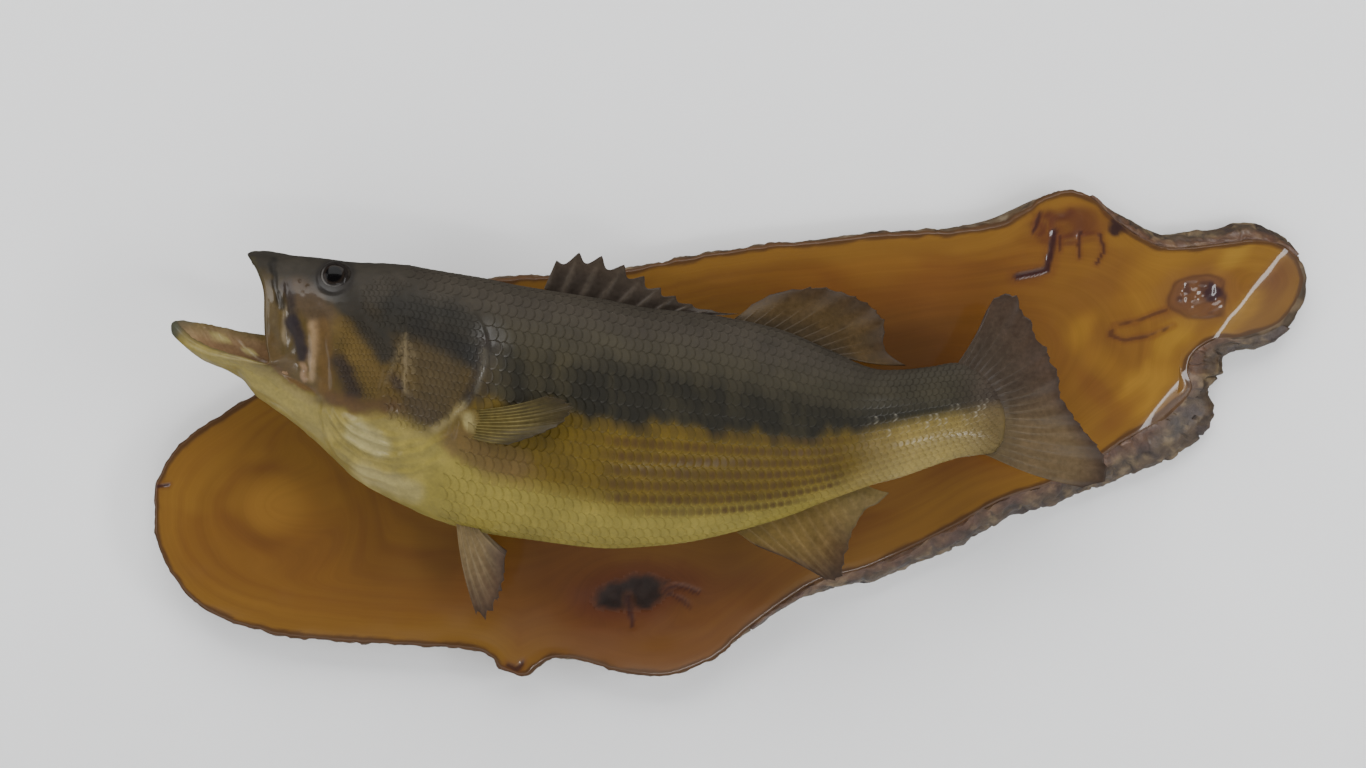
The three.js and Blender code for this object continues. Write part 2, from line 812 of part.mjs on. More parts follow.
const FINS = {
  dorsal_fin_spiny: [SPINY_DORSAL, (x) => midPlane(x)],
  dorsal_fin_soft: [SOFT_DORSAL, (x, z, share) => midPlane(x) + SOFT_DORSAL.lean * share],
  anal_fin: [ANAL, (x, z, share) => midPlane(x) + ANAL.lean * share],
  caudal_fin: [CAUDAL, (x) => TAIL_FIN.y + TAIL_FIN.turn * (x - TAIL_FIN.x)],
  pelvic_fin_near: [
    PELVIC_NEAR,
    (x, z, share) => PELVIC_MIDDLE - PELVIC_SPREAD + PELVIC_NEAR.lean * share,
  ],
  pelvic_fin_far: [
    PELVIC_FAR,
    (x, z, share) => PELVIC_MIDDLE + PELVIC_SPREAD + PELVIC_FAR.lean * share,
  ],
  pectoral_fin_near: [
    PECTORAL_NEAR,
    (x, z, share) => nearPectoral(x, z) + PECTORAL_NEAR.lean * share,
  ],
  pectoral_fin_far: [
    PECTORAL_FAR,
    (x, z, share) =>
      Math.min(farPectoral(x, z) + PECTORAL_FAR.lean * share, BOARD_FRONT - PECTORAL_CLEAR),
  ],
};

function makeFins() {
  const keepClear = toManifold(bodySolid(GAP))
    .add(toManifold(gillPlate(1, GAP)))
    .add(toManifold(gillPlate(-1, GAP)))
    .add(toManifold(wallBlock()));
  const fins = {};
  for (const [name, [fin, depthAt]] of Object.entries(FINS)) {
    fins[name] = largestPiece(toManifold(finPlate(fin, depthAt)).subtract(keepClear));
  }
  return fins;
}

// ---------------------------------------------------------------- the board

// One row per point of the smoothed outline: place, outward slope and row number.
function outlineRows() {
  const count = BOARD_OUTLINE.length;
  const wrap = (i) => BOARD_OUTLINE[((i % count) + count) % count];
  const keyed = [];
  for (let i = -2; i <= count + 2; i += 1) keyed.push([i, ...wrap(i).slice(0, 3)]);
  const place = (t) => interpolate(keyed, t);
  const bearing = (t) => {
    const [, x0, z0] = place(t - 0.6);
    const [, x1, z1] = place(t + 0.6);
    return Math.atan2(x0 - x1, z1 - z0);
  };
  const stated = (i) => {
    const row = wrap(i);
    return row.length > 3 ? radians(row[3]) : bearing(i);
  };
  const rows = [];
  for (let k = 0; k < count * OUTLINE_STEPS; k += 1) {
    const t = k / OUTLINE_STEPS;
    const [, x, z, reveal] = place(t);
    const i = Math.floor(t);
    const turn = Math.atan2(
      Math.sin(stated(i + 1) - stated(i)),
      Math.cos(stated(i + 1) - stated(i)),
    );
    const angle = stated(i) + turn * (t - i);
    rows.push({ t, x, z, reveal, outX: Math.cos(angle), outZ: Math.sin(angle) });
  }
  return rows;
}

function barkAt(t) {
  for (const [first, last] of Object.values(BARK_RUNS)) {
    if (t < first || t > last) continue;
    const fromEnd = Math.min(t - first, last - t, 2) / 2;
    return BARK_END + (BARK_THICKNESS - BARK_END) * fromEnd;
  }
  return 0;
}

const step = (row, distance, y) =>
  vector(row.x + row.outX * distance, y, row.z + row.outZ * distance);

const WOOD_BEVEL = 1.5; // depth of the rounded edge of the varnished face
// Levels down the board's edge: y, and how far the bare edge stands out there.
const WOOD_EDGE = [
  [BOARD_FRONT, -0.8],
  [BOARD_FRONT + WOOD_BEVEL, 0.5],
  [BOARD_FRONT / 2, 1.6],
  [0, 0],
];

// The wood, whose edge slopes out to its back in a straight line, or bulges a little
// where no bark covers it.
function woodSolid(rows) {
  const loop = ([y, swell]) => {
    const share = (y - BOARD_FRONT) / BOARD_THICKNESS;
    return rows.map((row) => {
      const bark = barkAt(row.t);
      const reach = Math.max(0, row.reveal - bark);
      return step(row, reach * share + (bark ? Math.min(0, swell) : swell), y);
    });
  };
  return stackedSolid(WOOD_EDGE.map(loop));
}

// The bark's outer face: the heights above the back and above the edge of the varnished
// face at which it bends, its bulge there, and its waves from one section to the next.
const BARK_FACE = { low: 7, high: 9, foot: 0.2, bulge: 0.35, waves: 1.2, turn: 2.3 };

// Bark along the sloping edge, with its inner face a gap away from the wood.
function barkSolid(rows, [first, last]) {
  const run = rows.filter((row) => row.t >= first && row.t <= last);
  const sections = run.map((row, k) => {
    const bark = barkAt(row.t);
    const wood = Math.max(0, row.reveal - bark);
    const fade = Math.min(1, k / 2, (run.length - 1 - k) / 2);
    const rough = BARK_FACE.waves * Math.sin(BARK_FACE.turn * k) * fade;
    const shoulder = row.reveal * 0.5 + bark * BARK_FACE.bulge + rough;
    const rim = (wood * WOOD_BEVEL) / BOARD_THICKNESS + GAP + 1;
    const onWood = (y) => step(row, (wood * (y - BOARD_FRONT)) / BOARD_THICKNESS + GAP, y);
    return [
      ...WOOD_EDGE.slice(1).map(([y]) => onWood(y)),
      step(row, row.reveal - BARK_FACE.foot * bark, 0),
      step(row, row.reveal + rough, -BARK_FACE.low),
      step(row, shoulder, BOARD_FRONT + BARK_FACE.high),
      step(row, rim, BOARD_FRONT + WOOD_BEVEL),
    ];
  });
  const centre = (section) =>
    section.reduce((sum, p) => sum.add(p), vector(0, 0, 0)).divideScalar(section.length);
  return ringSolid(sections, centre(sections[0]), centre(sections[sections.length - 1]));
}

// The wedge of wood missing in front of the sloping right end.
function ridgeBlock() {
  const [x0, z0] = RIDGE.from;
  const [x1, z1] = RIDGE.to;
  const along = vector(x0 - x1, 0, z0 - z1).normalize();
  const across = vector(-along.z, 0, along.x);
  const fall = radians(RIDGE.fall);
  const down = across.multiplyScalar(Math.cos(fall)).add(vector(0, Math.sin(fall), 0));
  const outward = along.clone().cross(down);
  const size = 160;
  const block = new THREE.BoxGeometry(size * 2, size, size).translate(0, size / 2, size / 2);
  block.applyMatrix4(new THREE.Matrix4().makeBasis(along, down, outward));
  return block.translate(x0, BOARD_FRONT, z0);
}

function knotHole() {
  const hole = new THREE.SphereGeometry(0.5, 14, 8);
  hole.scale(KNOT_HOLE.length, KNOT_HOLE.depth * 2, KNOT_HOLE.height);
  hole.rotateY(radians(-KNOT_HOLE.tilt));
  return hole.translate(KNOT_HOLE.x, BOARD_FRONT, KNOT_HOLE.z);
}

function makeBoard() {
  const rows = outlineRows();
  const wedge = toManifold(ridgeBlock());
  const wood = toManifold(woodSolid(rows)).subtract(wedge).subtract(toManifold(knotHole()));
  const board = { board_wood: largestPiece(wood) };
  for (const [name, run] of Object.entries(BARK_RUNS)) {
    board[name] = largestPiece(toManifold(barkSolid(rows, run)).subtract(wedge));
  }
  return board;
}

// ---------------------------------------------------------------- the model

const FINISHES = {
  wood: { color: 0xa45c18, roughness: 0.18, metalness: 0 },
  bark: { color: 0x57422c, roughness: 0.75, metalness: 0 },
  headSkin: { color: 0x6b5a34, roughness: 0.35, metalness: 0.05 },
  jawSkin: { color: 0x8a7c52, roughness: 0.35, metalness: 0.05 },
  gillSkin: { color: 0x7a6230, roughness: 0.32, metalness: 0.1 },
  trunkSkin: { color: 0x6e6440, roughness: 0.38, metalness: 0.05 },
  tailSkin: { color: 0x666048, roughness: 0.38, metalness: 0.05 },
  darkFin: { color: 0x3b2f25, roughness: 0.45, metalness: 0 },
  paleFin: { color: 0x7d6d3c, roughness: 0.45, metalness: 0 },
  mouth: { color: 0xb5a071, roughness: 0.4, metalness: 0 },
  eye: { color: 0x14110e, roughness: 0.08, metalness: 0 },
};

const FINISH_OF = {
  board_wood: "wood",
  bark_lower: "bark",
  bark_upper: "bark",
  upper_jaw: "jawSkin",
  lower_jaw: "jawSkin",
  head: "headSkin",
  gill_cover_near: "gillSkin",
  gill_cover_far: "gillSkin",
  trunk_front: "trunkSkin",
  trunk_rear: "trunkSkin",
  tail_stalk: "tailSkin",
  dorsal_fin_spiny: "darkFin",
  dorsal_fin_soft: "darkFin",
  anal_fin: "darkFin",
  caudal_fin: "darkFin",
  pelvic_fin_near: "paleFin",
  pelvic_fin_far: "paleFin",
  pectoral_fin_near: "paleFin",
  pectoral_fin_far: "paleFin",
  tongue: "mouth",
  eye_near: "eye",
  eye_far: "eye",
};

const solids = {
  ...makeBoard(),
  ...makeFlesh(),
  ...makeFins(),
  tongue: largestPiece(toManifold(tongueBody()).subtract(toManifold(bodySolid(GAP)))),
  eye_near: toManifold(eyeball(1, 0)),
  eye_far: toManifold(eyeball(-1, 0)),
};

const model = new THREE.Group();
for (const [name, solid] of Object.entries(solids)) {
  const geometry = toGeometry(solid);
  const material = new THREE.MeshStandardMaterial(FINISHES[FINISH_OF[name]]);
  const mesh = new THREE.Mesh(geometry, material);
  mesh.name = name;
  model.add(mesh);
}

export default model;
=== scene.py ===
"""Looks of a largemouth bass mounted on a varnished live-edge board.

Sizes are in millimetres until a mesh is made, and are those of the solids.
"""

import math

import bpy
import numpy as np
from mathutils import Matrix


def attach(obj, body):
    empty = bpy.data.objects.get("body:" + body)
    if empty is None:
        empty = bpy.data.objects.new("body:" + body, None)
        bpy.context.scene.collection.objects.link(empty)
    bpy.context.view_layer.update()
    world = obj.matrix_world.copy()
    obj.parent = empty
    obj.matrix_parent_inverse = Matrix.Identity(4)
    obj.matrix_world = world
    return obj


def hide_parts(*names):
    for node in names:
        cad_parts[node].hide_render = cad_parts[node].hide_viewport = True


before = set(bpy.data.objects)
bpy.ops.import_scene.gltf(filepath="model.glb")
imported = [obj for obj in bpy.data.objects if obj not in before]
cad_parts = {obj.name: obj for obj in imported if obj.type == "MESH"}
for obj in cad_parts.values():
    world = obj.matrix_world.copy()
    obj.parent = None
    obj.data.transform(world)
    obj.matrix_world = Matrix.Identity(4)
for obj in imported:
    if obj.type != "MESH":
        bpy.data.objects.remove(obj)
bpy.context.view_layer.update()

# ---------------------------------------------------------------- sizes of the solids

BOARD_THICKNESS = 28.0
BOARD_FRONT = -BOARD_THICKNESS
SKIN_INSET = -0.55  # growth of the skin over the solids; below zero it lies inside them
BOARD_CLEARANCE = 0.6  # of the skin's flat far side

# x, top z, bottom z, half width, y of the mid-plane, level of the greatest width, squareness
BODY_STATIONS = [
    (-251, 108, -11, 33, -76, 0.6, 2.6),
    (-232, 106, -29, 36.5, -75, 0.58, 2.5),
    (-207, 105, -43, 40, -73.5, 0.56, 2.4),
    (-183, 101, -54, 43, -71.5, 0.54, 2.3),
    (-158, 97, -61, 45, -70, 0.53, 2.25),
    (-133, 92, -65, 46, -69.3, 0.52, 2.2),
    (-84, 84, -71, 47, -69.3, 0.5, 2.15),
    (-53, 78, -70, 46, -69.3, 0.5, 2.1),
    (-22, 75, -66, 42.5, -69.8, 0.5, 2.1),
    (27, 65, -53, 33, -71.3, 0.5, 2),
    (58, 52, -41, 26, -73.5, 0.5, 2),
    (83, 41, -32, 20, -76, 0.5, 2),
    (101, 40, -27, 16, -78, 0.5, 2),
    (120, 42, -20, 13, -81, 0.5, 2),
    (135, 44, -15, 10.5, -83.6, 0.5, 2),
    (148, 38, -13, 8.5, -86, 0.5, 2),
    (157, 28, -11, 6.5, -87.5, 0.5, 2),
    (162, 18, -4, 3.5, -88.4, 0.5, 2),
]
HEAD_START = BODY_STATIONS[0][0]
STALK_END = (164, -88.7, 7)

JAW_ROLL = 0.24
CHIN_ROLL = 0.45
# section angle, x, z, sideways offset, roll
LIP_CREST = [
    (0, -298, 108.6, 0, JAW_ROLL),
    (20, -294, 108.4, 13, JAW_ROLL),
    (40, -288, 103.2, 24, JAW_ROLL),
    (60, -283, 93, 31, JAW_ROLL),
    (76, -282, 78, 34, JAW_ROLL),
    (88, -281, 64, 35, JAW_ROLL),
    (97, -279, 53, 35, JAW_ROLL),
    (107, -285, 52, 33, JAW_ROLL),
    (119, -297, 54.4, 29, 0.25),
    (132, -310, 56.6, 24, 0.28),
    (146, -323, 59.6, 18, 0.34),
    (162, -336, 63.6, 10, 0.4),
    (180, -345, 68, 0, CHIN_ROLL),
]
SNOUT_TURN = 0.067
UPPER_LIP = 3
CHIN_LIP = 5.0
INNER_LIP = 2.6
LIP_DIRECTIONS = [
    (0, 0.3, 1, -0.05),
    (70, 0.25, 1, 0),
    (90, 0.1, 0.95, -0.25),
    (104, 0, 0.65, -0.75),
    (125, -0.05, 0.45, -0.9),
    (155, -0.35, 0.6, -0.8),
    (180, -0.55, 0.8, -0.6),
]
CHEEK_ARRIVE = 1.3
ROLL_REACH = 30  # length over which the head takes on the jaws' roll
MOUTH_FLOOR_LEAVE = (0.58, -1)
MOUTH_ROOF_ARRIVE = -0.1
MOUTH_FLOOR_ARRIVE = 0.35
THROAT = {"x": -212, "y": -74, "z": 46, "radius": 15, "depth": 9}
EYE = {"x": -242, "z": 95.2, "radius": 9.8, "depth": 6.5, "sunk": 3, "tilt": 14}
TONGUE = {"x": -262, "y": -77, "z": 33, "length": 58, "width": 26, "height": 11, "tilt": 12}

GILL_OUTLINE = [
    (-205, 80), (-187, 87), (-165, 81), (-150, 61), (-151, 40),
    (-161, 20), (-181, 3), (-204, 1), (-214, 22), (-211, 54),
]
GILL_RAISED = (0.3, 1.8)  # at its front and its rear edge

# x, z, how far the live edge stands out at the back, bearing of that slope
BOARD_OUTLINE = [
    (-371, -44, 3), (-369, -70, 2), (-357, -95, 2), (-334, -116, 2), (-302, -127, 2),
    (-284, -131, 2), (-233, -135, 2), (-169, -139, 2), (-156, -144, 2), (-148, -152, 2),
    (-134, -156, 2), (-127, -150, 2), (-116, -145, 2), (-98, -146, 2), (-73, -153, 2),
    (-46, -156, 2), (-25, -150, 2), (-8, -141, 3), (10, -125, 5), (33, -108, 6),
    (55, -95, 8), (87, -86, 11), (138, -62, 14), (170, -44, 15), (202, -33, 15),
    (228, -20, 19), (247, -7, 24), (268, 6, 32, -38), (284, 19, 30, -28), (293, 28, 17, -4),
    (290, 39, 28, -2), (294, 51, 26, -6), (308, 60, 25, -14), (327, 61, 17, -25),
    (353, 70, 10, -20), (364, 84, 7), (368, 99, 6), (361, 112, 7), (349, 120, 10),
    (332, 123, 12), (308, 120, 11), (278, 118, 10), (260, 125, 9), (248, 133, 9),
    (238, 142, 5), (229, 150, 3), (215, 154, 2), (199, 150, 2), (186, 141, 5),
    (170, 133, 6), (145, 129, 4), (106, 127, 3), (71, 124, 3), (-9, 115, 2),
    (-79, 102, 2), (-150, 97, 2), (-188, 88, 2), (-220, 74, 2), (-284, 37, 2),
    (-324, 13, 2), (-352, -6, 2), (-368, -28, 3),
]
RIGHT_END = 36  # row of the outline at which the lower edge turns into the upper one
BARK_RUNS = {"bark_lower": (18, 34), "bark_upper": (37, 45)}
BARK_THICKNESS = 6
BARK_END = 1.4
RIDGE = {"from": (307, 61), "to": (351, 115), "fall": 22}
KNOT_HOLE = {"x": -64, "z": -103, "length": 44, "height": 20, "depth": 7, "tilt": 12}

# ---------------------------------------------------------------- small mathematics


def smooth(low, high, value):
    t = np.clip((value - low) / (high - low), 0, 1)
    return t * t * (3 - 2 * t)


def bell(value, width):
    return np.exp(-((value / width) ** 2))


def mix(a, b, share):
    return a + (b - a) * share


def signed_power(value, power):
    return np.sign(value) * np.abs(value) ** power


def parts(points):
    """The columns of points, each as an array of its own."""
    return np.moveaxis(points, -1, 0)


def unit(vectors):
    return vectors / np.maximum(np.linalg.norm(vectors, axis=-1, keepdims=True), 1e-9)


def hermite(p0, m0, p1, m1, s):
    s2 = s * s
    s3 = s2 * s
    return (
        (2 * s3 - 3 * s2 + 1) * p0 + (s3 - 2 * s2 + s) * m0 + (3 * s2 - 2 * s3) * p1 + (s3 - s2) * m1
    )


def interpolate(table, t):
    """Smooth curve through a table's rows at the keys t; the last axis is the column."""
    table = np.asarray(table, float)
    t = np.asarray(t, float)
    last = len(table) - 1
    i = np.searchsorted(table[1:last, 0], t, side="left")
    before, start = table[np.maximum(i - 1, 0)], table[i]
    end, after = table[i + 1], table[np.minimum(i + 2, last)]
    span = (end[..., 0] - start[..., 0])[..., None]
    s = np.clip((t[..., None] - start[..., :1]) / span, 0, 1)
    m0 = (end - before) / (end[..., :1] - before[..., :1]) * span
    m1 = (after - start) / (after[..., :1] - start[..., :1]) * span
    return hermite(start, m0, end, m1, s)


def lattice(ix, iy, iz, seed):
    h = (ix * 374761393 + iy * 668265263 + iz * 2246822519 + seed * 3266489917) & 0xFFFFFFFF
    h = ((h ^ (h >> 13)) * 1274126177) & 0xFFFFFFFF
    return ((h ^ (h >> 16)) & 0xFFFF) / 32767.5 - 1


def noise(x, y, z, size, seed=0):
    """Soft random field between -1 and 1 with features about one size across."""
    x, y, z = np.broadcast_arrays(x / size, y / size, z / size)
    i = [np.floor(v).astype(np.int64) for v in (x, y, z)]
    f = [v - np.floor(v) for v in (x, y, z)]
    u = [v * v * (3 - 2 * v) for v in f]
    total = 0
    for dx in (0, 1):
        for dy in (0, 1):
            for dz in (0, 1):
                weight = (
                    (u[0] if dx else 1 - u[0])
                    * (u[1] if dy else 1 - u[1])
                    * (u[2] if dz else 1 - u[2])
                )
                total = total + weight * lattice(i[0] + dx, i[1] + dy, i[2] + dz, seed)
    return total


def rough(x, y, z, size, octaves=3, seed=0):
    total = 0
    for k in range(octaves):
        total = total + noise(x, y, z, size / 2**k, seed + k) / 2**k
    return total


def line_distance(x, z, line):
    """Distance from a line of points, and how far along it (0 to 1) the nearest place is."""
    line = np.asarray(line, float)
    best = np.full(np.shape(x), 1e9)
    where = np.zeros(np.shape(x))
    pieces = len(line) - 1
    for k in range(pieces):
        (x0, z0), (x1, z1) = line[k], line[k + 1]
        dx, dz = x1 - x0, z1 - z0
        s = np.clip(((x - x0) * dx + (z - z0) * dz) / (dx * dx + dz * dz), 0, 1)
        d = np.hypot(x - x0 - s * dx, z - z0 - s * dz)
        nearer = d < best
        best = np.where(nearer, d, best)
        where = np.where(nearer, (k + s) / pieces, where)
    return best, where


def inside(x, z, outline):
    """Distance inside a closed outline, negative outside it."""
    closed = list(outline) + [outline[0]]
    distance, _ = line_distance(x, z, closed)
    crossings = np.zeros(np.shape(x), bool)
    for (x0, z0), (x1, z1) in zip(closed[:-1], closed[1:]):
        if z0 == z1:
            continue
        level = (z0 > z) != (z1 > z)
        crossings ^= level & (x < x0 + (x1 - x0) * (z - z0) / (z1 - z0))
    return np.where(crossings, distance, -distance)


def rounded(outline, count):
    """Points on a smooth closed curve through those of an outline."""
    rows = len(outline)
    keyed = [(i, *outline[i % rows]) for i in range(-2, rows + 3)]
    return interpolate(keyed, np.arange(count) * rows / count)[:, 1:]


def linear(colour):
    """Linear colour of an sRGB one from 0 to 255."""
    value = np.array(colour, float) / 255
    return np.where(value <= 0.04045, value / 12.92, ((value + 0.055) / 1.055) ** 2.4)


def plain(shape, colour):
    return np.zeros(shape + (3,)) + linear(colour)


def coated(colours, *coats):
    """Colours with coats laid over them one by one, each a share and an sRGB colour."""
    for share, colour in coats:
        colours = colours + (linear(colour) - colours) * share[..., None]
    return colours


# ---------------------------------------------------------------- meshes


def make_piece(
    name, points, quads, colours, triangles=(), grain=None, uv=None, flat=None, gloss=None
):
    """A mesh object from points in millimetres, turned so that its faces point out."""
    quads = np.asarray(quads, np.int64).reshape(-1, 4)
    triangles = np.asarray(triangles, np.int64).reshape(-1, 3)
    points = np.asarray(points, float)
    corners = np.concatenate([quads[:, [0, 1, 2]], quads[:, [0, 2, 3]], triangles])
    a, b, c = (points[corners[:, k]] for k in range(3))
    if np.einsum("ij,ij->", a, np.cross(b, c)) < 0:
        quads, triangles = quads[:, ::-1], triangles[:, ::-1]
    mesh = bpy.data.meshes.new(name)
    loops = np.concatenate([quads.ravel(), triangles.ravel()])
    totals = np.concatenate([np.full(len(quads), 4), np.full(len(triangles), 3)])
    mesh.vertices.add(len(points))
    mesh.vertices.foreach_set("co", (points / 1000).ravel())
    mesh.loops.add(len(loops))
    mesh.loops.foreach_set("vertex_index", loops)
    mesh.polygons.add(len(totals))
    mesh.polygons.foreach_set("loop_start", np.concatenate([[0], np.cumsum(totals)[:-1]]))
    shaded = np.ones(len(totals), bool)
    if flat is not None:
        shaded &= ~flat
    mesh.polygons.foreach_set("use_smooth", shaded)
    solid = np.hstack([colours, np.ones((len(points), 1))])
    colour_data = mesh.color_attributes.new("Col", "FLOAT_COLOR", "POINT").data
    colour_data.foreach_set("color", np.clip(solid, 0, 1).ravel())
    if gloss is not None:
        mesh.attributes.new("gloss", "FLOAT", "POINT").data.foreach_set("value", gloss.ravel())
    if grain is not None:
        mesh.attributes.new("grain", "FLOAT_VECTOR", "POINT").data.foreach_set("vector", grain.ravel())
    if uv is not None:
        mesh.uv_layers.new(name="OFBake").data.foreach_set("uv", uv[loops].ravel())
    mesh.update(calc_edges=True)
    mesh.validate()
    piece = bpy.data.objects.new(name, mesh)
    bpy.context.scene.collection.objects.link(piece)
    return piece


def grid_quads(rows, columns, closed=False):
    j = np.arange(columns if closed else columns - 1)
    following = (j + 1) % columns
    base = (np.arange(rows - 1) * columns)[:, None]
    corners = [base + j, base + following, base + columns + following, base + columns + j]
    return np.stack(corners, axis=-1).reshape(-1, 4)


def tube_faces(rings, around):
    """Quads of a tube, and triangles to its two end points, which come after its rings."""
    j = np.arange(around)
    following = (j + 1) % around
    last = (rings - 1) * around
    near = np.stack([np.full(around, rings * around), following, j], axis=-1)
    far = np.stack([np.full(around, rings * around + 1), last + j, last + following], axis=-1)
    return grid_quads(rings, around, closed=True), np.concatenate([near, far])


def ball(rings, around):
    """A unit ball about the x axis: its points, with the two poles last, and its faces."""
    polar = np.linspace(0, np.pi, rings + 2)[1:-1][:, None]
    turn = np.linspace(0, 2 * np.pi, around, endpoint=False)[None, :]
    place = [-np.cos(polar) + 0 * turn, np.sin(polar) * np.cos(turn), np.sin(polar) * np.sin(turn)]
    points = np.concatenate([np.stack(place, axis=-1).reshape(-1, 3), [[-1, 0, 0], [1, 0, 0]]])
    return points, *tube_faces(rings, around)


def tilted(first, second, degrees):
    """Two coordinates after a turn from the first towards the second."""
    turn = math.radians(degrees)
    return (
        first * math.cos(turn) - second * math.sin(turn),
        first * math.sin(turn) + second * math.cos(turn),
    )


def grid_normals(points, wrap=True):
    along = np.gradient(points, axis=0)
    if wrap:
        around = np.roll(points, -1, axis=1) - np.roll(points, 1, axis=1)
    else:
        around = np.gradient(points, axis=1)
    return unit(np.cross(along, around))


# ---------------------------------------------------------------- surface of the body


def section_at(x):
    _, top, bottom, half, middle, level, squareness = parts(interpolate(BODY_STATIONS, x))
    return top, bottom, half, middle, squareness, bottom + level * (top - bottom)


def body_point(x, angle, grow=SKIN_INSET):
    x, angle = np.broadcast_arrays(np.asarray(x, float), np.asarray(angle, float))
    top, bottom, half, middle, squareness, wide = section_at(x)
    up, out = np.cos(np.radians(angle)), np.sin(np.radians(angle))
    power = 2 / squareness
    rise = np.where(up > 0, top - wide, wide - bottom) + grow
    y = middle - (half + grow) * signed_power(out, power)
    return np.stack([x, y, wide + rise * signed_power(up, power)], axis=-1)


def body_side(x, z, side):
    top, bottom, half, middle, squareness, wide = section_at(np.asarray(x, float))
    rise = np.where(z > wide, top - wide, wide - bottom)
    level = np.minimum(1, np.abs((z - wide) / rise))
    return middle - side * half * (1 - level**squareness) ** (1 / squareness)


def crest_round():
    def mirrored(row, turn):
        angle, x, z, offset, roll = row
        return (turn - angle, x, z, -offset, roll)

    before = [mirrored(row, 0) for row in LIP_CREST[1:3]][::-1]
    other = [mirrored(row, 360) for row in LIP_CREST[:-1]][::-1]
    again = [(360 + row[0], *row[1:]) for row in LIP_CREST[1:3]]
    return [*before, *LIP_CREST, *other, *again]


CREST_ROUND = crest_round()


def snout_middle(x):
    return BODY_STATIONS[0][4] + SNOUT_TURN * (x - HEAD_START)


def crest_point(angle):
    _, x, z, offset, roll = parts(interpolate(CREST_ROUND, angle))
    return np.stack([x, snout_middle(x) - offset, z - roll * offset], axis=-1)


def lip_frame(angle):
    folded = np.where(angle > 180, 360 - angle, angle)
    row = interpolate(LIP_DIRECTIONS, folded)
    turn = np.radians(angle)
    out = unit(np.stack([row[..., 1], -np.sin(turn), np.cos(turn)], axis=-1))
    back = np.stack([row[..., 2], np.zeros_like(turn), row[..., 3]], axis=-1)
    back = unit(back - out * np.sum(back * out, axis=-1, keepdims=True))
    half = UPPER_LIP + (CHIN_LIP - UPPER_LIP) * smooth(97, 170, folded)
    return out, back, half[..., None], folded


def cheek_points(steps, angle, grow=SKIN_INSET):
    """From the outer lip back to the first section of the trunk."""
    out, back, half, _ = lip_frame(angle)
    start = crest_point(angle) + out * (half + grow) + back * half * 0.45
    end = body_point(HEAD_START, angle, grow)
    reach = np.linalg.norm(end - start, axis=-1, keepdims=True)
    leave = unit(unit(end - start) + 0.12 * out) * reach
    arrive = unit(body_point(HEAD_START + 1, angle, grow) - end) * reach * CHEEK_ARRIVE
    return hermite(start, leave, end, arrive, steps[:, None, None])


def mouth_points(steps, angle, grow=SKIN_INSET):
    """From the inner lip back to the throat."""
    out, back, _, folded = lip_frame(angle)
    start = crest_point(angle) - out * (INNER_LIP + grow) + back * INNER_LIP
    radius = THROAT["radius"] - grow
    turn = np.radians(angle)
    end = np.stack(
        [
            np.full_like(turn, THROAT["x"]),
            THROAT["y"] - radius * np.sin(turn),
            THROAT["z"] + radius * np.cos(turn),
        ],
        axis=-1,
    )
    reach = np.linalg.norm(end - start, axis=-1, keepdims=True)
    floor_share = smooth(100, 150, folded)[..., None]
    floor_way = np.array([MOUTH_FLOOR_LEAVE[0], 0, MOUTH_FLOOR_LEAVE[1]])
    leave = mix(unit(back + 0.1 * out), floor_way, floor_share) * reach
    rise = mix(MOUTH_ROOF_ARRIVE, MOUTH_FLOOR_ARRIVE, floor_share)
    arrive = reach * np.concatenate([0.7 + 0 * rise, 0 * rise, rise], axis=-1)
    return hermite(start, leave, end, arrive, steps[:, None, None])


def near_height(x, y, z):
    """The z that a place on the rolled jaws has on the side away from the wall."""
    roll = JAW_ROLL * np.clip((HEAD_START - x) / ROLL_REACH, 0, 1)
    offset = snout_middle(x) - y
    return z + roll * (offset - np.abs(offset))


# ---------------------------------------------------------------- relief of the head

GILL_EDGE = rounded(GILL_OUTLINE, 40)
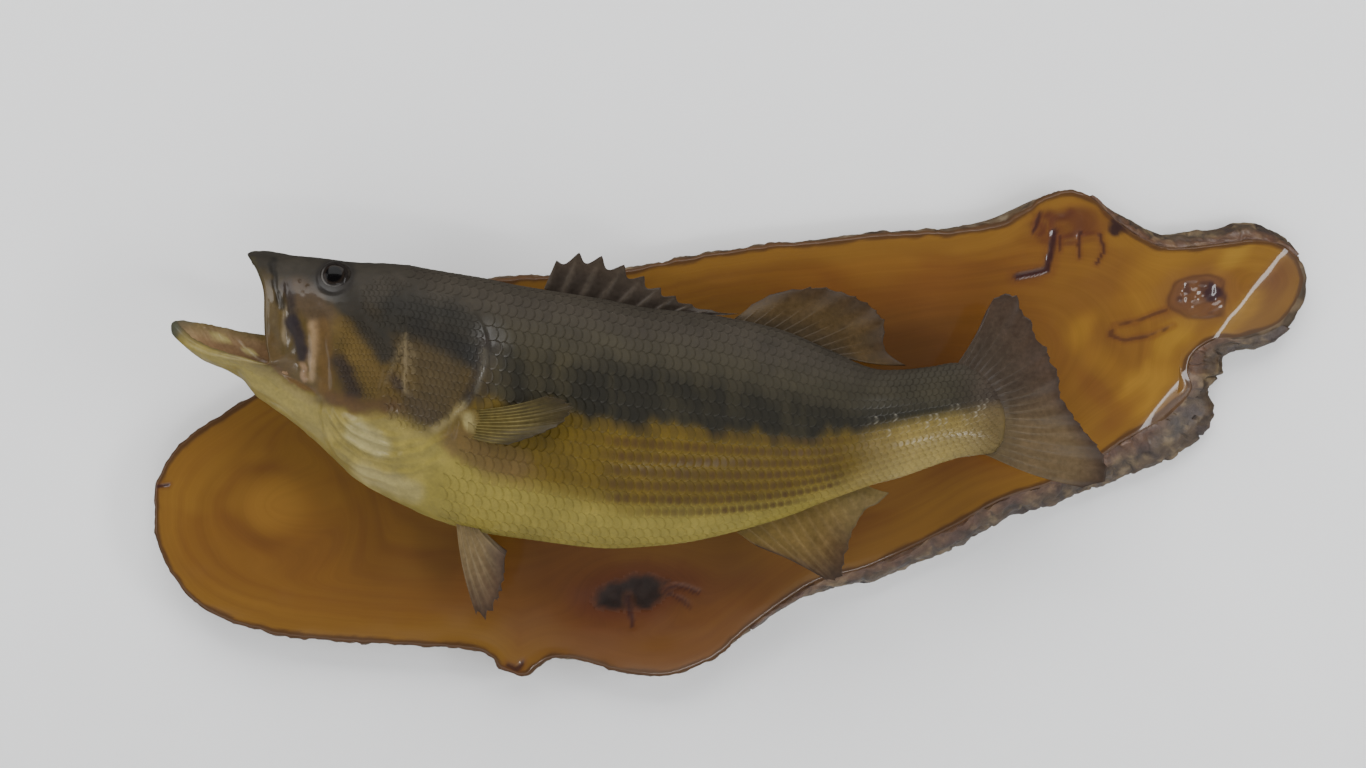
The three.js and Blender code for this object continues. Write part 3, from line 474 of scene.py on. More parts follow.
# Each fold: line of (x, z), half width, height.
FOLDS = [
    ([(-281, 105), (-277, 96), (-275, 86), (-272, 77)], 1.5, -1.2),  # groove behind the front lip
    ([(-270, 92), (-267, 80), (-265, 70)], 1.2, -0.9),
    ([(-268, 74), (-264, 64), (-261, 54), (-259, 45)], 3.8, -1.0),  # hollow by the maxilla
    ([(-279, 84), (-277, 66), (-275, 52)], 3.6, 1.1),  # maxilla
    ([(-271, 86), (-270, 70), (-269, 54)], 1.3, 0.9),
    ([(-254.5, 67), (-253, 52), (-254, 33)], 2.6, 1.3),  # rear blade of the maxilla
    ([(-260, 42), (-259, 36), (-258, 32)], 1.6, 1.0),
    ([(-248, 62), (-246, 46), (-246, 28)], 2.0, -0.7),
    ([(-281, 44), (-268, 35), (-253, 26)], 1.3, -1.0),  # lower edge of the maxilla
    ([(-240, 52), (-234, 36), (-228, 20)], 3.0, -0.9),
    ([(-233, 70), (-222, 52), (-213, 34)], 5.0, -0.6),
    ([(-199, 78), (-197, 64), (-197, 44), (-199, 22)], 1.5, 1.7),  # edge of the preopercle
    ([(-199, 22), (-206, 12), (-222, 8), (-240, 14)], 2.0, 1.0),
    ([(-196, 60), (-202, 48), (-210, 34), (-213, 26)], 1.2, 1.1),
    ([(-203, 66), (-202, 56), (-203, 50)], 2.6, 0.9),
    ([(-193, 62), (-191, 44), (-192, 24)], 2.2, -0.8),
    ([(-250, 12), (-234, 8), (-216, 10)], 3.0, 1.1),
    # folds of skin under the gill cover
    ([(-246, 14), (-236, 0), (-222, -9), (-204, -13), (-186, -9), (-172, 1), (-165, 13)], 1.5, 2.3),
    ([(-241, 14), (-230, 3), (-216, -4), (-200, -7), (-186, -4)], 1.3, 2.0),
    ([(-236, 13), (-226, 6), (-214, 1), (-202, -1)], 1.3, 1.8),
    ([(-248, 10), (-238, -4), (-225, -13), (-206, -17.5), (-188, -15)], 1.1, 1.2),
    ([(-250, 8), (-242, -6), (-230, -16), (-212, -22), (-194, -22), (-176, -14)], 1.5, 1.8),
    ([(-249, 1), (-240, -12), (-226, -23), (-206, -30), (-188, -31)], 1.8, 1.3),
    ([(-250, 22), (-252, 12), (-250, 4)], 1.4, -1.6),  # corner under the jaw joint
    # lines along the lower jaw
    ([(-330, 56), (-310, 46), (-290, 37), (-268, 24)], 1.5, -0.8),
    ([(-322, 47), (-300, 34), (-280, 24), (-262, 10)], 1.7, 0.7),
]
PORES = [(-257.5, 89.4), (-262, 92.5), (-318, 50), (-305, 44), (-291, 37), (-277, 28)]


def head_relief(x, y, z):
    """Height of the skin's folds in millimetres, on either side of the head."""
    side_on = smooth(8, 17, np.abs(snout_middle(np.minimum(x, HEAD_START)) - y))
    height_z = near_height(x, y, z)
    total = np.zeros(np.shape(x))
    wobble = 1.1 * noise(x, y, z, 9, 3)
    uneven = 0.9 + 0.45 * noise(x, y, z, 7, 4)
    for line, width, height in FOLDS:
        distance, along = line_distance(x + wobble, height_z - wobble, line)
        taper = np.minimum(1, 5 * np.minimum(along + 0.06, 1.06 - along))
        total += height * uneven * taper * bell(distance, width)
    for px, pz in PORES:
        distance = np.hypot(x - px, height_z - pz)
        total -= 0.9 * bell(distance, 0.9)
    cover = inside(x, height_z, GILL_EDGE)
    rear = smooth(GILL_OUTLINE[0][0], GILL_OUTLINE[3][0], x)
    low = mix(0.25, 1, smooth(86, 62, height_z))
    total += smooth(-2.2, 1.8, cover + 0.5 * noise(x, y, z, 6, 12)) * mix(*GILL_RAISED, rear) * low
    radius = np.hypot(x - EYE["x"], z - EYE["z"])
    lid = 0.6 * bell(radius - 9.4, 1.1) - 0.35 * bell(radius - 12.2, 1.6)
    brow = 0.8 * bell(radius - 11.5, 2.6) * smooth(96, 106, z)
    coarse = 0.22 * rough(x, y, z, 5, 2, 11) * smooth(-150, -190, x)
    return side_on * (total + lid + brow) + coarse


# ---------------------------------------------------------------- markings

# sRGB colours from 0 to 255
BACK = (61, 55, 46)
BACK_LOW = (60, 55, 41)
BAND = (28, 27, 21)
FLANK = (98, 79, 18)
BELLY = (144, 130, 60)
BELLY_REAR = (152, 133, 72)
HEAD_TOP = (55, 50, 42)
CHEEK = (79, 63, 26)
CHIN = (144, 129, 66)

# x, z of the middle of the dark band along the side, and its half width
SIDE_BAND = [
    (-200, 50, 12), (-148, 40, 15), (-106, 33, 16), (-70, 27, 17.5), (-22, 21, 15.5),
    (25, 14, 12.5), (56, 10.5, 8.5), (86, 11.5, 5.6), (122, 17, 4.6), (149, 21.5, 3.8), (165, 26, 4),
]
# x, and half width, of the paler places where the band's front is broken
BAND_GAPS = [(-141, 4), (-121, 5), (-103.5, 4)]
# x, z where the flank turns into the belly
BELLY_LINE = [
    (-260, 20), (-225, 12), (-184, 2), (-154, -18), (-106, -33), (-58, -42),
    (13, -42), (67, -26), (127, -4), (165, 0),
]
# x, z where the top of the head turns into the cheek, and the cheek into the chin
CROWN_LINE = [(-300, 104), (-288, 97), (-268, 88), (-245, 80), (-226, 76), (-202, 70), (-176, 66), (-148, 58)]
CHIN_LINE = [
    (-345, 66), (-316, 54), (-286, 43), (-253, 22), (-236, 15), (-208, 13), (-184, 6), (-160, 2), (-150, -4)
]
# Each stroke: line of (x, z), half width, softness, colour, strength.
STROKES = [
    ([(-296, 106), (-288, 92), (-284, 66), (-283, 50)], 3.6, 2.5, (70, 66, 46), 0.85),
    ([(-281, 84), (-279, 66), (-276, 48)], 4.8, 2.5, (82, 68, 42), 0.85),
    ([(-280, 56), (-276, 46), (-268, 42)], 4.5, 3, (88, 68, 34), 0.8),
    # a pale streak on the maxilla: painted highlight
    ([(-270, 76), (-269, 66), (-269, 56)], 1.2, 2.0, (134, 120, 96), 0.6),
    ([(-264, 86), (-254, 78), (-246, 70)], 7, 5, (74, 58, 42), 0.75),
    # dark strokes in the grooves round the front lip and the maxilla: painted shade
    ([(-270, 90), (-267, 80), (-264, 68)], 2.4, 2.6, (46, 38, 34), 0.85),
    ([(-266, 68), (-262, 58), (-259.5, 48)], 3.4, 2.8, (36, 28, 32), 0.9),
    ([(-281, 106), (-277, 97), (-275, 86), (-272, 76)], 1.5, 1.8, (34, 31, 27), 0.8),
    # pale pink strips on the maxilla's rear blade: their own colour with painted highlight
    ([(-253.2, 66), (-252.6, 54), (-254.2, 44)], 1.9, 3.4, (144, 118, 86), 0.8),
    ([(-254.4, 44), (-254.6, 34)], 0.9, 2.6, (158, 132, 100), 0.65),
    ([(-260.5, 42), (-258.5, 34)], 1.2, 1.6, (144, 116, 90), 0.7),
    ([(-247, 66), (-246, 45), (-247, 28)], 3.6, 3.5, (94, 70, 34), 0.8),
    ([(-237.5, 44), (-233, 34), (-229.5, 26)], 4.2, 4.6, (44, 34, 27), 0.92),
    ([(-236, 66), (-222, 46), (-209, 26)], 5, 6, (92, 73, 33), 0.7),
    ([(-240, 88), (-226, 72), (-216, 60), (-210, 51)], 6.4, 5, (42, 38, 31), 0.93),
    ([(-243, 23), (-226, 17), (-205, 17)], 3, 5, (84, 60, 38), 0.7),
    ([(-205, 34), (-201, 30)], 3.2, 3, (52, 40, 32), 0.85),
    ([(-193, 20), (-184, 13)], 4.6, 3.6, (50, 38, 31), 0.9),
    ([(-203, 72), (-178, 66), (-155, 52)], 12, 9, (38, 36, 31), 0.92),
    ([(-186, 50), (-176, 34), (-184, 18)], 12, 10, (66, 55, 35), 0.85),
    ([(-190, 64), (-176, 58), (-160, 48)], 5, 6, (28, 27, 25), 0.8),
    ([(-150, 57), (-154, 36), (-162, 20)], 2.6, 3.4, (42, 35, 29), 0.85),
    # pale lines on the preopercle's ridge: painted highlights
    ([(-197, 56), (-197.5, 26)], 0.8, 1.2, (126, 112, 84), 0.55),
    ([(-197.6, 60), (-202.4, 47), (-209.6, 31)], 0.7, 1.2, (116, 102, 74), 0.5),
    # a pale line along the gill cover's rear edge: painted glint
    ([(-152, 50), (-151, 38), (-156, 26)], 1.2, 2.0, (104, 98, 82), 0.4),
    ([(-281, 44), (-268, 35), (-253, 26)], 1.3, 1.6, (96, 70, 36), 0.8),
    ([(-180, 4), (-172, 9), (-164, 18)], 1.3, 3, (158, 142, 92), 0.6),
    ([(-161, 10), (-158, 3)], 2.6, 3.2, (168, 156, 106), 0.65),
    ([(-166, -4), (-150, -14), (-132, -16)], 8, 5, (104, 83, 46), 0.8),
    ([(-346, 64), (-341, 70)], 7.5, 2.5, (72, 74, 58), 0.95),
    ([(-336, 62), (-322, 58), (-300, 50)], 3, 3, (104, 92, 62), 0.6),
    ([(-300, 46), (-280, 36), (-256, 20)], 1.6, 2, (132, 116, 70), 0.5),
    ([(-228, 2), (-214, -6)], 6, 4, (176, 166, 118), 0.6),
    ([(-226, -24), (-196, -34)], 6, 5, (172, 160, 112), 0.5),
]


def curve_at(line, x):
    line = np.asarray(line, float)
    return interpolate(line, np.clip(x, line[0, 0], line[-1, 0]))


def markings(x, y, z):
    """Linear colour of the fish at a place on its skin, with painted highlights and painted shade in the
    head's grooves.
    """
    z = near_height(x, y, z)
    blot = rough(x, y * 0.5, z * 0.6, 15, 3, 5)
    fine = rough(x, y, z, 5, 2, 8)
    _, middle, half = parts(curve_at(SIDE_BAND, x))
    belly = curve_at(BELLY_LINE, x)[..., 1]
    wide = smooth(90, 40, x)
    spikes = noise(x, 0, z * 0.12, 5.5, 22)
    lower = middle - half + (5 * blot + 5.5 * spikes) * wide
    upper = middle + half + (4 * blot + 3 * spikes) * wide
    shifted = x + 4 * noise(x, 0, z, 12, 21)
    blotches = sum(bell(shifted - gap, reach) for gap, reach in BAND_GAPS)
    speckle = smooth(0.2, 0.8, noise(x, 0, z * 0.3, 5, 23)) * 0.5 * wide
    in_band = smooth(-6, 4, z - lower)
    colours = coated(
        plain(x.shape, BELLY),
        (smooth(30, 80, x), BELLY_REAR),
        (smooth(-9, 9, z - belly + 3 * fine) * (1 - 0.6 * smooth(60, 110, x)), FLANK),
        (in_band * 0.97, BAND),
        (in_band * 0.8 * np.maximum(blotches, speckle), (64, 58, 38)),
        (smooth(-9, 9, z - upper), BACK_LOW),
        (smooth(6, 28, z - upper), BACK),
    )
    rear_back = 0.14 * smooth(0, 60, x) * smooth(0, 8, z - upper)
    # the tail stalk flows into the fin: grey above, dull olive below
    end = smooth(124, 158, x)
    colours = coated(
        colours * (1 - rear_back)[..., None],
        (0.9 * end * smooth(4, 20, z), (60, 50, 42)),
        (0.85 * end * smooth(23, 12, z), (88, 74, 48)),
    )
    cheek = coated(
        plain(x.shape, CHIN),
        (smooth(-7, 6, z - curve_at(CHIN_LINE, x)[..., 1] + 3 * fine), CHEEK),
        (smooth(-7, 8, z - curve_at(CROWN_LINE, x)[..., 1] + 3 * fine), HEAD_TOP),
    )
    head = np.maximum(smooth(-12, 6, inside(x, z, GILL_EDGE)), smooth(-186, -222, x))
    colours = mix(colours, cheek, head[..., None])
    side_on = smooth(6, 16, np.abs(snout_middle(np.minimum(x, -180)) - y))
    side_on = np.maximum(side_on, smooth(-322, -334, x))
    for line, width, soft, colour, strength in STROKES:
        distance, _ = line_distance(x + 1.2 * fine, z + 1.2 * fine, line)
        share = strength * smooth(width + soft, width - soft * 0.5, distance) * side_on
        colours = coated(colours, (share, colour))
    round_eye = np.hypot(x - EYE["x"], z - EYE["z"])
    colours = coated(colours, (0.8 * smooth(14, 10, round_eye) * side_on, (38, 34, 31)))
    shade = 1 + 0.15 * blot + 0.12 * fine
    return colours * shade[..., None]


# Wet places: middle (x, z), reach along x and z, distances at which one starts and is full, share.
WET_SPOTS = [((-148, 46), (0.8, 1.3), (22, 8), 1), ((-212, -4), (1.2, 0.8), (46, 26), 0.6)]


def glossiness(x, y, z):
    """Share of varnish on the fish: satin along the back, wet on the head and low on the sides."""
    z = near_height(x, y, z)
    band = curve_at(SIDE_BAND, x)
    gloss = 0.2 * smooth(14, -10, z - band[..., 1]) * smooth(160, 138, x)
    gloss = np.maximum(gloss, 0.8 * smooth(-230, -250, x) * smooth(98, 84, z))
    for (sx, sz), (reach_x, reach_z), (start, full), share in WET_SPOTS:
        away = np.hypot((x - sx) / reach_x, (z - sz) / reach_z)
        gloss = np.maximum(gloss, share * smooth(start, full, away))
    gloss = np.maximum(gloss, 0.9 * smooth(60, 90, x) * smooth(158, 140, x) * smooth(24, 16, z))
    return np.clip(gloss * (0.75 + 0.25 * rough(x, y, z, 6, 2, 15)), 0, 1)


# ---------------------------------------------------------------- skin

AROUND = 320  # points of a ring, from the top by the near side
NEAR_SIDE = AROUND // 4
MOUTH_RINGS, LIP_RINGS, CHEEK_RINGS, REAR_RINGS = 36, 9, 50, 122
REAR_FROM = -150  # x behind which the trunk's rings lie further apart
TRUNK_STEP = 1.15  # between the rings in front of it
SNOUT_TIP = (-1.2, 0, 2.2)  # how far the pointed middle of the upper lip stands out
SKIN_UV_MARGIN = 0.004
JAW_STEP = 5.0
# x, z of the near lip of the lower jaw
NEAR_LIP = [(-345, 68), (-336, 59.6), (-323, 53.5), (-310, 49.9), (-297, 47.2), (-285, 44)]
# x, z and half width of the pale pads of teeth on the far side of the lower jaw
TOOTH_PATCHES = [([(-323, 60), (-315, 57)], 1.5), ([(-306, 52.5), (-299, 49)], 1.1)]


def skin_rings():
    angle = np.arange(AROUND) * 360 / AROUND
    mouth = mouth_points(np.linspace(1, 0, MOUTH_RINGS), angle)
    cheek = cheek_points(np.linspace(0, 1, CHEEK_RINGS) ** 1.05, angle)
    inner, outer, crest = mouth[-1], cheek[0], crest_point(angle)
    control = 2 * crest - (inner + outer) / 2
    t = np.linspace(0, 1, LIP_RINGS)[1:-1, None, None]
    lip = (1 - t) ** 2 * inner + 2 * t * (1 - t) * control + t * t * outer
    turned = np.minimum(angle, 360 - angle)
    tip = smooth(32, 5, turned)[None, :, None] * np.sin(np.pi * t) ** 2
    lip = lip + tip * np.array(SNOUT_TIP)
    dense = np.arange(HEAD_START + TRUNK_STEP, REAR_FROM, TRUNK_STEP)
    x = np.concatenate([dense, np.linspace(REAR_FROM, BODY_STATIONS[-1][0], REAR_RINGS)])
    trunk = body_point(x[:, None], angle[None, :])
    zones = np.repeat([0, 1, 2, 3], [len(mouth), len(lip), len(cheek), len(trunk)])
    return np.concatenate([mouth, lip, cheek, trunk]), zones, angle


def jaw_step(x, z):
    """Rise of the thin front of the lower jaw, which ends in a step where the throat begins."""
    near_lip = np.interp(x, *np.transpose(NEAR_LIP))
    along = smooth(-334, -304, x) * smooth(-290, -301, x)
    return JAW_STEP * along * smooth(near_lip - 4, near_lip - 15, z)


def make_skin():
    rings, zones, angle = skin_rings()
    normals = grid_normals(rings)
    trunk_ring = -REAR_RINGS  # it shows whether the normals point out
    section = rings[trunk_ring]
    if np.mean(normals[trunk_ring] * (section - section.mean(axis=0))) < 0:
        normals = -normals
    x, y, z = parts(rings)
    height = head_relief(x, y, z)
    outer = np.cumsum(zones >= 2)
    height *= smooth(0, 6, outer)[:, None]
    colours = markings(x, y, z)
    # the lining of the mouth, with its bands of fine teeth just inside the lips, darkened towards the throat
    # by painted shade
    count = int(np.sum(zones == 0))
    depth = np.clip((count - np.arange(len(rings))) / count, 0, 1)[:, None]
    teeth = smooth(0.0, 0.03, depth) * smooth(0.17, 0.1, depth)
    ripple = 0.5 * np.sin(np.radians(angle * 26))[None, :] * smooth(0.15, 0.4, depth)
    height = height + teeth * (0.7 + 0.6 * noise(x, y, z, 1.6, 31)) + ripple
    patchy = 0.35 + 0.6 * noise(x, y, z, 9, 33) + 0.2 * noise(x, y, z, 2, 34)
    lining = coated(
        plain(x.shape, (150, 118, 84)),
        (smooth(0.05, 0.4, depth), (104, 76, 44)),
        # painted shade deep in the throat
        (smooth(0.4, 1, depth), (40, 27, 18)),
        (teeth * np.clip(patchy, 0, 1), (190, 160, 120)),
    )
    for line, width in TOOTH_PATCHES:
        distance, _ = line_distance(x + noise(x, y, z, 4, 36), z + noise(x, y, z, 4, 37), line)
        share = smooth(width + 1.2, width - 0.8, distance) * (y > snout_middle(x))
        lining = coated(lining, (share, (206, 188, 122)))
        height = height + 0.8 * share * (0.5 + 0.5 * noise(x, y, z, 1.6, 38)) * (zones == 0)[:, None]
    lining = lining * (1 + 0.2 * rough(x, y, z, 7, 2, 35))[..., None]
    inward = smooth(0, 5, np.cumsum(zones[::-1] <= 0)[::-1])[:, None, None]
    colours = mix(colours, lining, inward)
    points = rings + normals * height[..., None]
    points[..., 2] += jaw_step(points[..., 0], points[..., 2])
    points[..., 1] = np.minimum(points[..., 1], BOARD_FRONT - BOARD_CLEARANCE)
    throat = [THROAT["x"] + THROAT["depth"], THROAT["y"], THROAT["z"]]
    flat = np.concatenate([points.reshape(-1, 3), [throat, STALK_END]])
    # the throat's end point is near black: painted shade
    shades = np.concatenate([colours.reshape(-1, 3), [linear((20, 14, 10)), linear(FLANK)]])
    gloss = np.concatenate([glossiness(x, y, z).ravel(), [1, 1]])
    reach = np.concatenate([[0], np.cumsum(np.linalg.norm(np.diff(rings[:, NEAR_SIDE], axis=0), axis=-1))])
    span = 1 - 2 * SKIN_UV_MARGIN
    u = np.broadcast_to((SKIN_UV_MARGIN + span * reach / reach[-1])[:, None], x.shape)
    v = np.broadcast_to((SKIN_UV_MARGIN + span * angle / 360)[None, :], x.shape)
    uv = np.stack([u, v], axis=-1).reshape(-1, 2)
    uv = np.concatenate([uv, [[0, 0.5], [1, 0.5]]])
    quads, triangles = tube_faces(len(rings), AROUND)
    return make_piece("skin", flat, quads, shades, triangles, uv=uv, gloss=gloss)


# ---------------------------------------------------------------- scales

COAT_RISE = (-0.17, 0.21)  # height of a scale's front and rear edge over the skin
REAR_CURVE = (0.62, 2.3)  # how far and with what power its rear edge curves forwards
ROW_HEIGHT = 8.6  # between two rows of scales at the deepest part of the flank
SCALE_PITCH = 5.2  # from one scale to the next along a row there
DEEPEST = -60
SCALES_SPLIT = -70  # x between the front and the rear pieces of the trunk's scales
TRUNK_COAT = (-222.0, 158.5)  # first and last x of the roots on the trunk
TRUNK_ROWS = 17  # rows of scales on each side of the lateral line
HEAD_COAT = (-248.0, -146.0)
HEAD_REACH = 120  # of the head's rows from the lateral line
# z, x in front of which the trunk has no scales
SHOULDER = [
    (-75, -184), (-30, -180), (-14, -169), (3, -163), (20, -157), (40, -148),
    (61, -147), (80, -160), (88, -190), (110, -212),
]
CHEEK_PATCH = [(-236, 72), (-226, 68), (-212, 56), (-204, 44), (-204, 28), (-222, 22), (-236, 26), (-241, 46)]
TEMPLE_PATCH = [(-228, 88), (-214, 96), (-196, 92), (-207, 82), (-209, 62), (-216, 64), (-226, 76)]
MAP_START, MAP_STEP = -262.0, 2


class SideMap:
    """Finds the section angle at a distance round the body from the lateral line."""

    def __init__(self, near):
        self.x = np.arange(MAP_START, 163.0, MAP_STEP)
        self.q = np.arange(-190.0, 191.0, 1)
        angle = np.arange(-60.0, 241.0, 1.5)  # 300 degrees round the body
        angle = angle if near else 360 - angle
        points = body_point(self.x[:, None], angle[None, :])
        step = np.linalg.norm(np.diff(points, axis=1), axis=-1)
        arc = np.concatenate([np.zeros((len(self.x), 1)), np.cumsum(step, axis=1)], axis=1)
        line_z = curve_at(SIDE_BAND, self.x)[:, 1]
        facing = np.abs(angle - (90 if near else 270)) < 85
        self.angle = np.zeros((len(self.x), len(self.q)))
        self.half = np.zeros(len(self.x))
        for i in range(len(self.x)):
            z = points[i, facing, 2]
            start = np.interp(-line_z[i], -z, arc[i, facing])
            self.angle[i] = np.interp(self.q, arc[i] - start, angle)
            self.half[i] = arc[i, -1] * 180 / 300

    def at(self, x, q):
        i = np.clip((x - MAP_START) / MAP_STEP, 0, len(self.x) - 1.001)
        j = np.clip(q - self.q[0], 0, len(self.q) - 1.001)
        i0, j0 = i.astype(int), j.astype(int)
        fi, fj = i - i0, j - j0
        table = self.angle
        low = mix(table[i0, j0], table[i0, j0 + 1], fj)
        return mix(low, mix(table[i0 + 1, j0], table[i0 + 1, j0 + 1], fj), fi)


def scale_template(across, along):
    """One scale in unit sizes: place along and across, height, and its faces."""
    a, b = np.meshgrid(np.linspace(-1, 1, across), np.linspace(0, 1, along), indexing="ij")
    rear = 1 - REAR_CURVE[0] * np.abs(a) ** REAR_CURVE[1]
    p = -1 + b * (1 + rear)
    q = a * (0.8 + 0.2 * np.sin(np.pi * np.minimum(1, 0.25 + 0.62 * b)))
    height = mix(*COAT_RISE, b) - 0.12 * a * a * (1 - 0.45 * b)
    top = np.stack([p, q, height], axis=-1).reshape(-1, 3)
    at = np.arange(across * along).reshape(across, along)
    border = np.concatenate([at[:-1, 0], at[-1, :-1], at[:0:-1, -1], at[0, :0:-1]])
    under = top[border].copy()
    under[:, 2] = np.minimum(under[:, 2] - 0.22, -0.2)
    points = np.concatenate([top, under, [[-0.2, 0, -0.6]]])
    count = len(border)
    k = np.arange(count)
    low = across * along + k
    low_next = across * along + (k + 1) % count
    sides = np.stack([border, border[(k + 1) % count], low_next, low], axis=-1)
    quads = np.concatenate([grid_quads(across, along)[:, ::-1], sides])
    fan = np.stack([low_next, low, np.full(count, across * along + count)], axis=-1)
    flat = np.zeros(len(quads) + len(fan), bool)
    flat[len(quads) - count :] = True
    return points, quads, fan[:, ::-1], flat


def scale_sizes(side, x):
    share = np.interp(x, side.x, side.half) / np.interp(DEEPEST, side.x, side.half)
    return SCALE_PITCH * share**0.32, ROW_HEIGHT * share**0.8


def trunk_roots(side):
    """Roots of the trunk's scales in rows along the lateral line.

    Each root has its x, its distance from the lateral line, the scale's length, its half height
    and its rise.
    """
    step = 0.5
    x = np.arange(*TRUNK_COAT, step)
    pitch, _ = scale_sizes(side, x)
    count = np.concatenate([[0], np.cumsum(step / pitch[:-1])])
    roots = []
    for row in range(-TRUNK_ROWS, TRUNK_ROWS):
        number = np.arange(1, count[-1]) + 0.5 * (row % 2)
        rx = np.interp(number[number < count[-1]], count, x)
        length, height = scale_sizes(side, rx)
        rq = (row + 0.5) * height
        roots.append(np.stack([rx, rq, 0.9 * length, 0.63 * height, np.ones_like(rx)], axis=-1))
    return np.concatenate(roots)


def patch_roots(pitch, height, rise):
    """Roots of small scales all over the side of the head."""
    roots = []
    rows = int(HEAD_REACH / height)
    for row in range(-rows, rows):
        rx = np.arange(*HEAD_COAT, pitch) + 0.5 * pitch * (row % 2)
        rq = np.full_like(rx, row * height)
        same = np.ones_like(rx)
        roots.append(np.stack([rx, rq, 0.86 * pitch * same, 0.6 * height * same, rise * same], axis=-1))
    return np.concatenate(roots)


def roots_kept(side, near, roots, keep):
    angle = side.at(roots[:, 0], roots[:, 1])
    points = body_point(roots[:, 0], angle)
    level = near_height(*points.T)
    middle = (angle > 2) & (angle < 180) if near else (angle > 180) & (angle < 358)
    return roots[middle & keep(points[:, 0], level)]


def on_trunk(x, z):
    return x > np.interp(z, *np.transpose(SHOULDER))


# Patches of small scales on the head: outline, distance kept from it, pitch, row height, rise.
HEAD_PATCHES = [
    (GILL_EDGE, 2.5, 3.6, 4.8, 0.34),
    (CHEEK_PATCH, 0, 2.5, 3.3, 0.22),
    (TEMPLE_PATCH, 0, 3.0, 4.0, 0.24),
]


def head_roots(side, near):
    kept = []
    for outline, margin, pitch, height, rise in HEAD_PATCHES:
        roots = patch_roots(pitch, height, rise)
        kept.append(roots_kept(side, near, roots, lambda x, z: inside(x, z, outline) > margin))
    return np.concatenate(kept)


def make_scales(name, near, roots, template):
    """All the scales of one stretch as one joined mesh that follows the skin."""
    side = SIDES[near]
    points, quads, fan, flat = template
    x = roots[:, None, 0] + points[None, :, 0] * roots[:, None, 2]
    q = roots[:, None, 1] + points[None, :, 1] * roots[:, None, 3]
    angle = side.at(x, q)
    base = body_point(x, angle)
    ahead = body_point(x + 0.5, angle) - base
    beside = body_point(x, angle + 0.5) - base
    normal = unit(np.cross(beside, ahead))
    _, _, _, middle, _, wide = section_at(x)
    centre = np.stack([middle, wide], axis=-1)
    outward = np.sum(normal[..., 1:] * (base[..., 1:] - centre), axis=-1, keepdims=True)
    normal = normal * np.where(outward < 0, -1, 1)
    jitter = noise(roots[:, 0], roots[:, 1], 0, 0.37, 41)[:, None]
    height = points[None, :, 2] * roots[:, None, 4] * (1 + 0.18 * jitter)
    height = height + head_relief(*parts(base))
    placed = base + normal * height[..., None]
    kept = placed[..., 1].max(axis=1) < BOARD_FRONT - BOARD_CLEARANCE - 0.2
    roots, placed, base, angle, jitter = (v[kept] for v in (roots, placed, base, angle, jitter))
    colours = scale_colours(roots, points, base, jitter)
    count = len(roots)
    offset = (np.arange(count) * len(points))[:, None, None]
    root_angle = side.at(roots[:, 0], roots[:, 1])
    # each scale has its own small patch of the map, by its root's place on the body
    u = 0.3 + 0.68 * (roots[:, 0] - MAP_START) / 430
    v = 0.01 + 0.98 * (root_angle % 360) / 360
    patch = 0.0015 * points[None, :, :2]
    uv = np.stack([u, v], axis=-1)[:, None, :] + patch
    return make_piece(
        name,
        placed.reshape(-1, 3),
        (quads[None] + offset).reshape(-1, 4),
        colours.reshape(-1, 3),
        (fan[None] + offset).reshape(-1, 3),
        uv=uv.reshape(-1, 2),
        flat=np.concatenate([np.tile(flat[: len(quads)], count), np.tile(flat[len(quads) :], count)]),
        gloss=glossiness(*parts(base)),
    )


DOT = (72, 50, 22)
TICK = (138, 118, 58)
# colour of the painted glints on the tail stalk's scales
PAINTED_GLINT = (160, 154, 138)


def scale_colours(roots, points, base, jitter):
    x, y, z = parts(base)
    colours = markings(x, y, z)
    root = base[:, :1].mean(axis=1, keepdims=True)
    rx, ry, rz = (np.broadcast_to(v, x.shape) for v in parts(root))
    colours = mix(colours, markings(rx, ry, rz), 0.35)
    p, q = points[None, :, 0], points[None, :, 1]
    belly = curve_at(BELLY_LINE, rx)[..., 1]
    band = curve_at(SIDE_BAND, rx)
    below = band[..., 1] - band[..., 2]
    flank = smooth(-1, 3, rz - belly) * smooth(3, -5, rz - below)
    flank = flank * smooth(-92, -76, rx) * smooth(66, 50, rx)
    spot = smooth(0.62, 0.25, np.hypot((p - 0.42) * 1.25, q * 0.8))
    spot = np.clip(spot * flank * (0.72 + 0.3 * jitter), 0, 1)
    row = smooth(0.75, 0.3, np.abs(q)) * flank
    tick = smooth(0.2, 0.0, np.abs(np.abs(q) - 0.8)) * flank
    small = smooth(44, 70, rx) * smooth(-6, 0, rz - belly) * smooth(4, -4, rz - below)
    # painted glints: pale dashes on the tail stalk's scales just below the dark band
    painted_glint_band = smooth(64, 88, rx) * smooth(156, 140, rx) * smooth(9, 3, np.abs(rz - band[..., 1] + 4))
    painted_glint_dash = smooth(0.25, 0.05, np.abs(p - 0.4)) * smooth(1.0, 0.6, np.abs(q)) * smooth(0, 0.7, jitter)
    colours = coated(
        colours,
        (0.22 * row, DOT),
        (0.25 * tick, TICK),
        (0.95 * spot, DOT),
        (0.4 * small * smooth(0.45, 0.2, np.hypot(p - 0.5, q)), DOT),
        (0.8 * painted_glint_band * painted_glint_dash, PAINTED_GLINT),
    )
    rear = 1 - REAR_CURVE[0] * np.abs(q) ** REAR_CURVE[1] * 0.8
    rim = smooth(0.62, 0.95, p / rear) * (1 - spot)
    lighter = 1 + 0.05 * rim + 0.05 * jitter
    return colours * lighter[..., None]


# ---------------------------------------------------------------- eyes, tongue

PUPIL = 4.9


